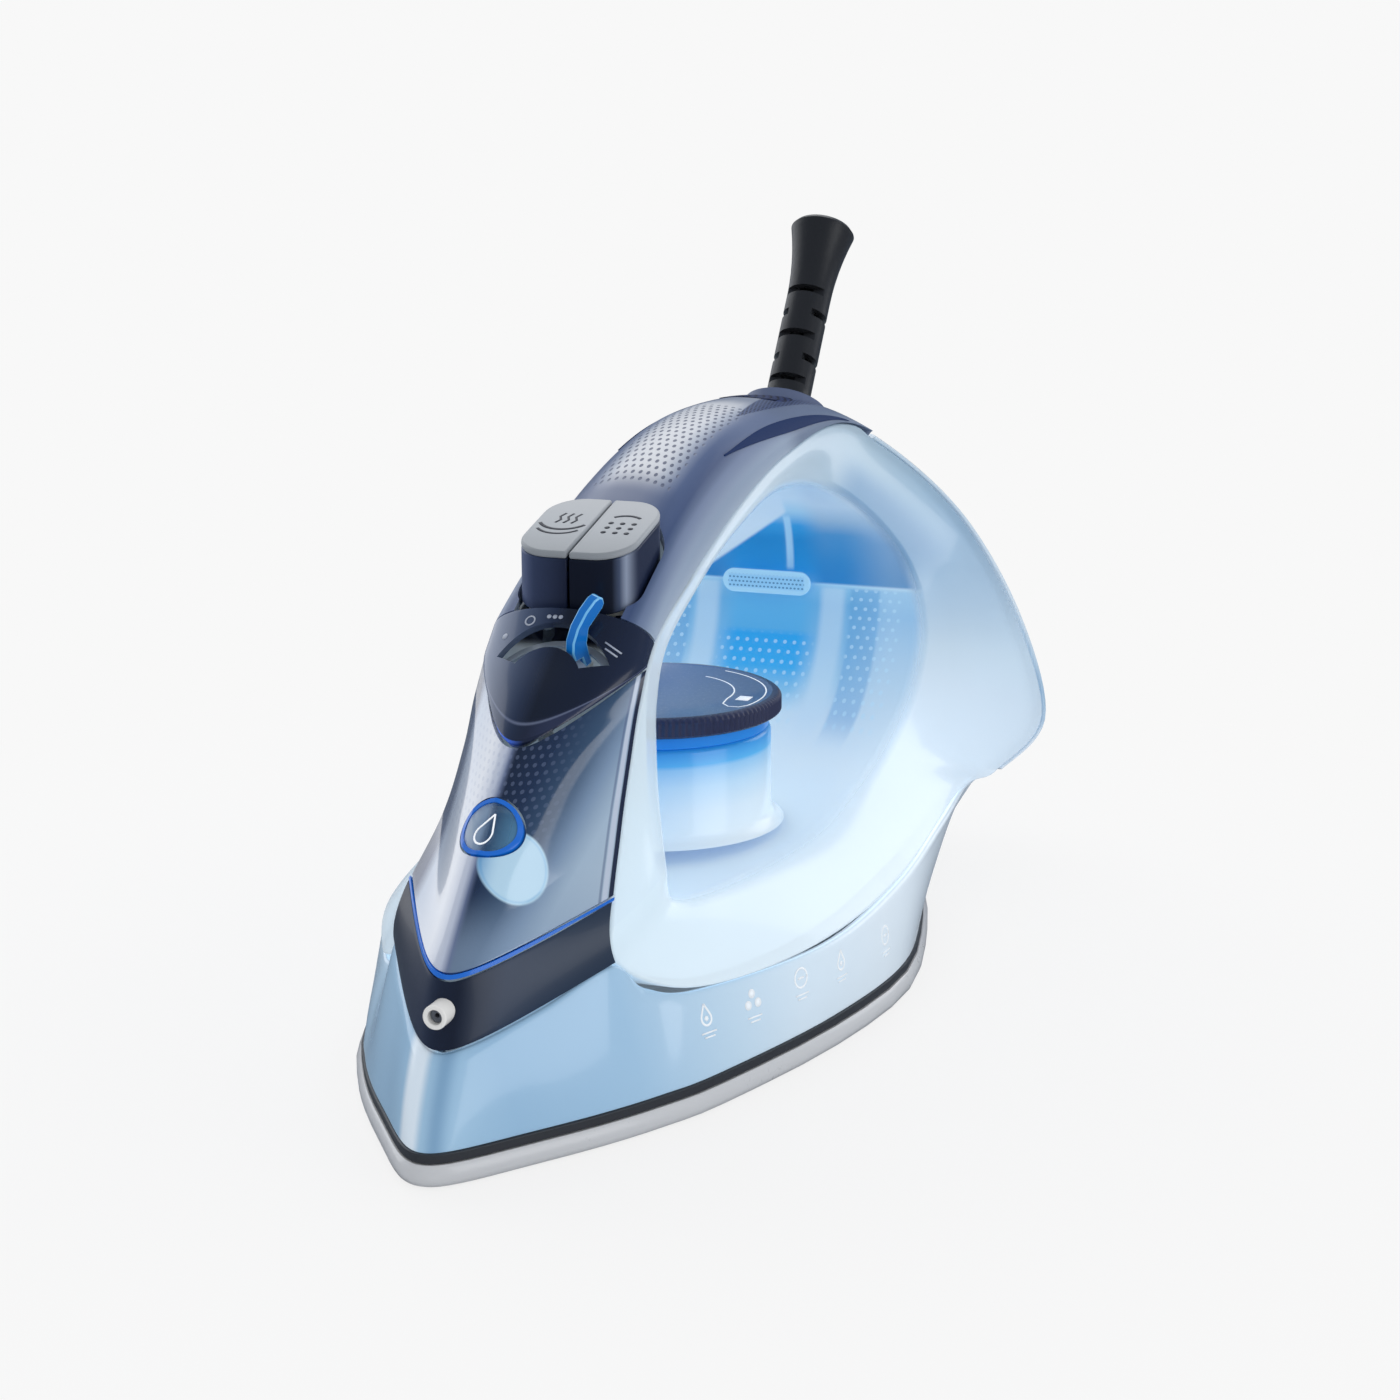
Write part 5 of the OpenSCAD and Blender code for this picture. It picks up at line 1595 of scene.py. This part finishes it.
    def build_hood(self) -> None:
        """Builds the hood, cuts the lever's slot into it and draws the plain signs beside the slot."""
        hood = self.skin("hood", [self.panel_row(v) for v in shares(36)], self.palette.hood, "panel_navy",
                         "control_panel", 1.6)
        carve(hood, [self.slot_shape()])
        for k, target in enumerate(self.hood_marks):
            ink = Marks(on_skin(hood, target, (-0.8, 0, 0.6)))
            if k == 0:
                ink.dot((0, 0), 0.7)
            elif k == 1:
                ink.arc(1.1, 0, 360, 0.35)
            elif k == 2:
                for x in (-1.3, 0, 1.3):
                    ink.dot((x, 0), 0.5)
            else:
                ink.stroke([(-2.0, 0.8), (2.0, -0.4)], 0.4)
                ink.stroke([(-1.6, -0.6), (1.4, -1.5)], 0.4)
            ink.finish(f"lever_sign_{k + 1}", "panel_navy", self.palette.get(Palette.MARK_GREY))

    def build(self) -> None:
        """Builds every piece of the nose."""
        self.build_band()
        self.build_window()
        self.build_hood()


# ---- Dial ------------------------------------------------------------------------


@dataclass
class Dial:
    """The temperature dial with its knurled rim."""

    palette: Palette
    knurls: int = 120
    depth: float = 0.35
    bore_r: float = 6.0
    bend: Tuple[Flat, ...] = ((8.6, 22.6), (8.8, 20.2), (6.6, 18.2))

    def build(self) -> None:
        """Builds the dial, its rim and the marks on it."""
        low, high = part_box("temperature_dial")
        centre, r, top = (low + high) / 2 / MM, (high.x - low.x) / 2 / MM, high.z / MM
        bottom, place = low.z / MM, upright((centre.x, 0, 0))
        bm = new_mesh()
        rim = [(self.bore_r, bottom), (r - 0.9, bottom), (r - 0.1, bottom + 0.5), (r - 0.1, top - 1.1),
               (r - 0.5, top - 0.5), (r - 1.3, top - 0.1), (r - 2.2, top)]
        spin_profile(bm, rim, place, self.knurls * 4, 1)
        for vert in bm.verts:
            flat = Vector((vert.co.x - centre.x, vert.co.y))
            if flat.length > r - 0.6:
                notch = 0.5 - 0.5 * math.cos(math.atan2(flat.y, flat.x) * self.knurls)
                vert.co.x -= flat.x / flat.length * self.depth * notch
                vert.co.y -= flat.y / flat.length * self.depth * notch
        spin_profile(bm, [(r - 2.2, top), (r - 3.2, top - 0.25), (0, top - 0.25)], place)
        Piece("dial_top", "dial_navy", [self.palette.dial, self.palette.get(Palette.DIAL_RIM)],
              ["temperature_dial"], Body.DIAL, Shade.CRISP).finish(bm)
        ink = Marks(Matrix.Translation((centre.x, 0, top - 0.2)))
        ink.stroke([*circle(r - 3.6, 160, 75, 17), *self.bend, *circle(r - 10.8, 85, 160, 15)], 0.32)
        ink.stroke([(-1.2, 21.2), (2.6, 21.2)], 3.0)
        ink.finish("dial_sign", "dial_navy", self.palette.get(Palette.MARK_WHITE), Body.DIAL)


# ---- The rest of the nodes -------------------------------------------------------


@dataclass
class Fittings:
    """The nodes that keep their own shape, with softened edges where they show."""

    palette: Palette

    def shown(self) -> Dict[str, Tuple[Body, Finish, float]]:
        """Returns the body, finish and edge width of each node that shows, but for the lens."""
        p = Palette
        return {
            "soleplate": (Body.IRON, p.CERAMIC, 0.0), "heat_shield": (Body.IRON, p.SHIELD, 0.2),
            "dial_collar": (Body.IRON, p.COLLAR, 0.3), "rear_cover_screws": (Body.IRON, p.STEEL, 0.1),
            "spray_nozzle": (Body.IRON, p.WHITE, 0.35), "nozzle_jet": (Body.IRON, p.JET, 0.15),
            "fill_cap": (Body.CAP, p.CAP, 0.15), "fill_cap_seal": (Body.CAP, p.BRIGHT_BLUE, 0.2),
            "steam_lever": (Body.LEVER, p.LEVER, 0.35), "lever_track": (Body.IRON, p.TRACK, 0.1),
            "swivel_turret": (Body.TURRET, p.TURRET, 0.4), "cord_guard": (Body.GUARD, p.RUBBER, 0.35),
        }

    def hidden(self) -> Dict[Finish, Sequence[str]]:
        """Returns the nodes that work inside the housings, by their finish."""
        p = Palette
        return {
            p.DARK_STEEL: ("heating_element", "thermostat_body"),
            p.STEEL: ("steam_chamber_lid", "soleplate_screws", "dial_spindle", "steam_pump_spring",
                      "spray_pump_spring"),
            p.IVORY: ("thermal_fuse", "steam_pump_cylinder", "spray_pump_cylinder", "cord_clamp",
                      "terminal_block"),
            p.WHITE: ("steam_piston", "spray_piston", "lever_cam", "valve_rod"),
            p.HOSE: ("fill_funnel", "spray_hose", "burst_hose"), p.BRASS: ("steam_valve_seat",),
            p.RUBBER: ("valve_rod_seal",), p.AMBER: ("indicator_lamp",), p.LEAD: ("mains_leads",),
        }

    def slot(self, node: str) -> str:
        """Returns the material slot that the record gives a node."""
        return next(part["material_slot"] for part in frame["record"]["subparts"] if part["node"] == node)

    def skin(self, node: str, looks: Sequence[Material], edge: float, body: Body = Body.IRON) -> Object:
        """Builds the refined copy of a node, its edges softened, and returns it."""
        copy = Piece(f"{node}_skin", self.slot(node), looks, [node], body)
        return copy.finish(node_mesh(node), scale=1.0, bevel=edge)

    def build(self) -> None:
        """Builds the refined copies, draws the fill cap's drop and dresses the nodes inside."""
        made = {}
        for node, (body, finish, edge) in self.shown().items():
            looks = [self.palette.get(finish)]
            # the lever's bevels take the painted edge highlight
            if node == "steam_lever":
                looks.append(self.palette.get(Palette.LEVER_EDGE_HIGHLIGHT))
            made[node] = self.skin(node, looks, edge, body)
        ink = Marks(on_skin(made["fill_cap"], Vector(CAP_CENTRE) + Vector(CAP_AXIS) * 12, (-0.5, 0.25, 0.8)))
        ink.drop(3.6, 0.42)
        ink.finish("fill_sign", self.slot("fill_cap"), self.palette.get(Palette.MARK_WHITE), Body.CAP)
        self.skin("indicator_lens", [self.palette.lens], 0.3)
        for finish, nodes in self.hidden().items():
            for node in nodes:
                mesh = frame["nodes"][node].data
                mesh.materials.clear()
                mesh.materials.append(self.palette.get(finish))
                LOG.info("%s dressed", node)


# ---- Studio ----------------------------------------------------------------------


@dataclass
class Studio:
    """The camera, the pale floor and the soft lights."""

    eye: Point = (594.94, 226.85, 226.57)
    right: Point = (-0.3331, 0.9429, -0.0030)
    up: Point = (-0.2271, -0.0772, 0.9708)
    ahead: Point = (-0.9151, -0.3241, -0.2398)
    lens: float = 76.08
    sensor: float = 36.0
    clip: Flat = (0.05, 20.0)
    floor_size: float = 6.0
    floor_z: float = -0.0002
    middle: Point = (-0.02, 0.0, 0.06)
    background: Colour = (0.939, 0.939, 0.939, 1.0)

    def camera(self) -> None:
        """Makes the camera."""
        data = bpy.data.cameras.new("camera")
        data.lens, data.sensor_width = self.lens, self.sensor
        data.clip_start, data.clip_end = self.clip
        obj = linked("camera", data)
        turn = Matrix((self.right, self.up, [-a for a in self.ahead])).transposed().to_4x4()
        obj.matrix_world = Matrix.Translation(Vector(self.eye) * MM) @ turn
        bpy.context.scene.camera = obj

    def lamp(self, name: str, place: Point, size: float, power: float) -> None:
        """Makes one square area lamp that looks at the iron's middle.

        Args:
            name: The lamp's name.
            place: Where it stands, in metres.
            size: The length of its side in metres.
            power: Its power in watts.
        """
        data = bpy.data.lights.new(name, "AREA")
        data.shape, data.size, data.energy = "SQUARE", size, power
        way = Vector(self.middle) - Vector(place)
        turn = way.to_track_quat("-Z", "Y").to_matrix().to_4x4()
        linked(name, data).matrix_world = Matrix.Translation(place) @ turn

    def look(self, sheet: Sheet, straight: object, glossy: Colour, other: Colour) -> Value:
        """Returns what a ray sees: one colour straight or through glass, one in a reflection, or another.

        Args:
            sheet: The sheet that the colour is made on.
            straight: The colour seen straight, or None where it is the third one.
            glossy: The colour seen in a reflection.
            other: The colour for all other rays.

        Returns:
            The colour.
        """
        path = sheet.put("ShaderNodeLightPath", "Is Glossy Ray", {})
        seen = sheet.mix(path, (*other, 1.0), (*glossy, 1.0))
        return seen if straight is None else seen.under(straight, self.seen_directly(sheet))

    def seen_directly(self, sheet: Sheet) -> Value:
        """Returns 1 where a ray comes from the camera, straight or through glass."""
        straight = sheet.put("ShaderNodeLightPath", "Is Camera Ray", {})
        through = Value(sheet, straight.socket.node.outputs["Is Transmission Ray"])
        return sheet.math("MAXIMUM", straight, through)

    def world(self) -> None:
        """Makes the even surroundings."""
        world = bpy.data.worlds.new("surroundings")
        world.use_nodes = True
        bpy.context.scene.world = world
        sheet = Sheet(world.node_tree)
        colour = self.look(sheet, self.background, (0.14, 0.18, 0.25), (0.72, 0.73, 0.75))
        sheet.feed(world.node_tree.nodes["Background"].inputs["Color"], colour)

    def floor(self) -> None:
        """Makes the pale floor, which keeps a faint shadow of the iron."""
        bm = bmesh.new()
        bmesh.ops.create_grid(bm, x_segments=1, y_segments=1, size=self.floor_size)
        bmesh.ops.translate(bm, vec=(0, 0, self.floor_z), verts=bm.verts)
        mesh = bpy.data.meshes.new("floor")
        bm.to_mesh(mesh)
        bm.free()
        material = bpy.data.materials.new("floor")
        material.use_nodes = True
        nodes = material.node_tree.nodes
        sheet = Sheet(material.node_tree, material)
        sheet.wear(Base_Color=self.look(sheet, None, (0.1, 0.13, 0.18), (0.9, 0.9, 0.9)), Roughness=0.9)
        glow = sheet.put("ShaderNodeEmission", 0, {"Color": self.background})
        away = sheet.put("ShaderNodeVectorMath", "Value", {0: sheet.place()}, operation="LENGTH")
        fade = {"Value": away, "From Min": 0.12, "From Max": 0.3, "To Min": 0.86, "To Max": 1.0}
        share = self.seen_directly(sheet) * sheet.put("ShaderNodeMapRange", "Result", fade)
        plain = Value(sheet, nodes["Principled BSDF"].outputs[0])
        sheet.feed(nodes["Material Output"].inputs["Surface"],
                   sheet.put("ShaderNodeMixShader", 0, {0: share, 1: plain, 2: glow}))
        mesh.materials.append(material)
        linked("floor", mesh)

    def build(self) -> None:
        """Builds the whole studio."""
        self.camera()
        self.world()
        self.floor()
        self.lamp("left", (-0.55, -1.0, 0.42), 1.1, 3.6)
        self.lamp("over", (-0.75, -0.35, 0.9), 0.9, 3.8)
        self.lamp("right", (0.35, 1.3, 0.35), 0.9, 3.6)
        self.lamp("rear", (-1.2, 0.7, 0.6), 0.8, 2.4)
        bpy.context.scene.view_settings.view_transform = "Standard"


def main() -> None:
    """Builds the iron's looks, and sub-assembly by sub-assembly."""
    logging.basicConfig(level=logging.INFO, format="%(name)s: %(message)s")
    Studio().build()
    palette = Palette()
    buttons = Buttons(palette)
    LowerHousing(palette).build()
    WaterTank(palette).build()
    Handle(palette).build(buttons.pocket())
    buttons.build()
    Nose(palette).build()
    Dial(palette).build()
    Fittings(palette).build()


if __name__ == "__main__":
    main()
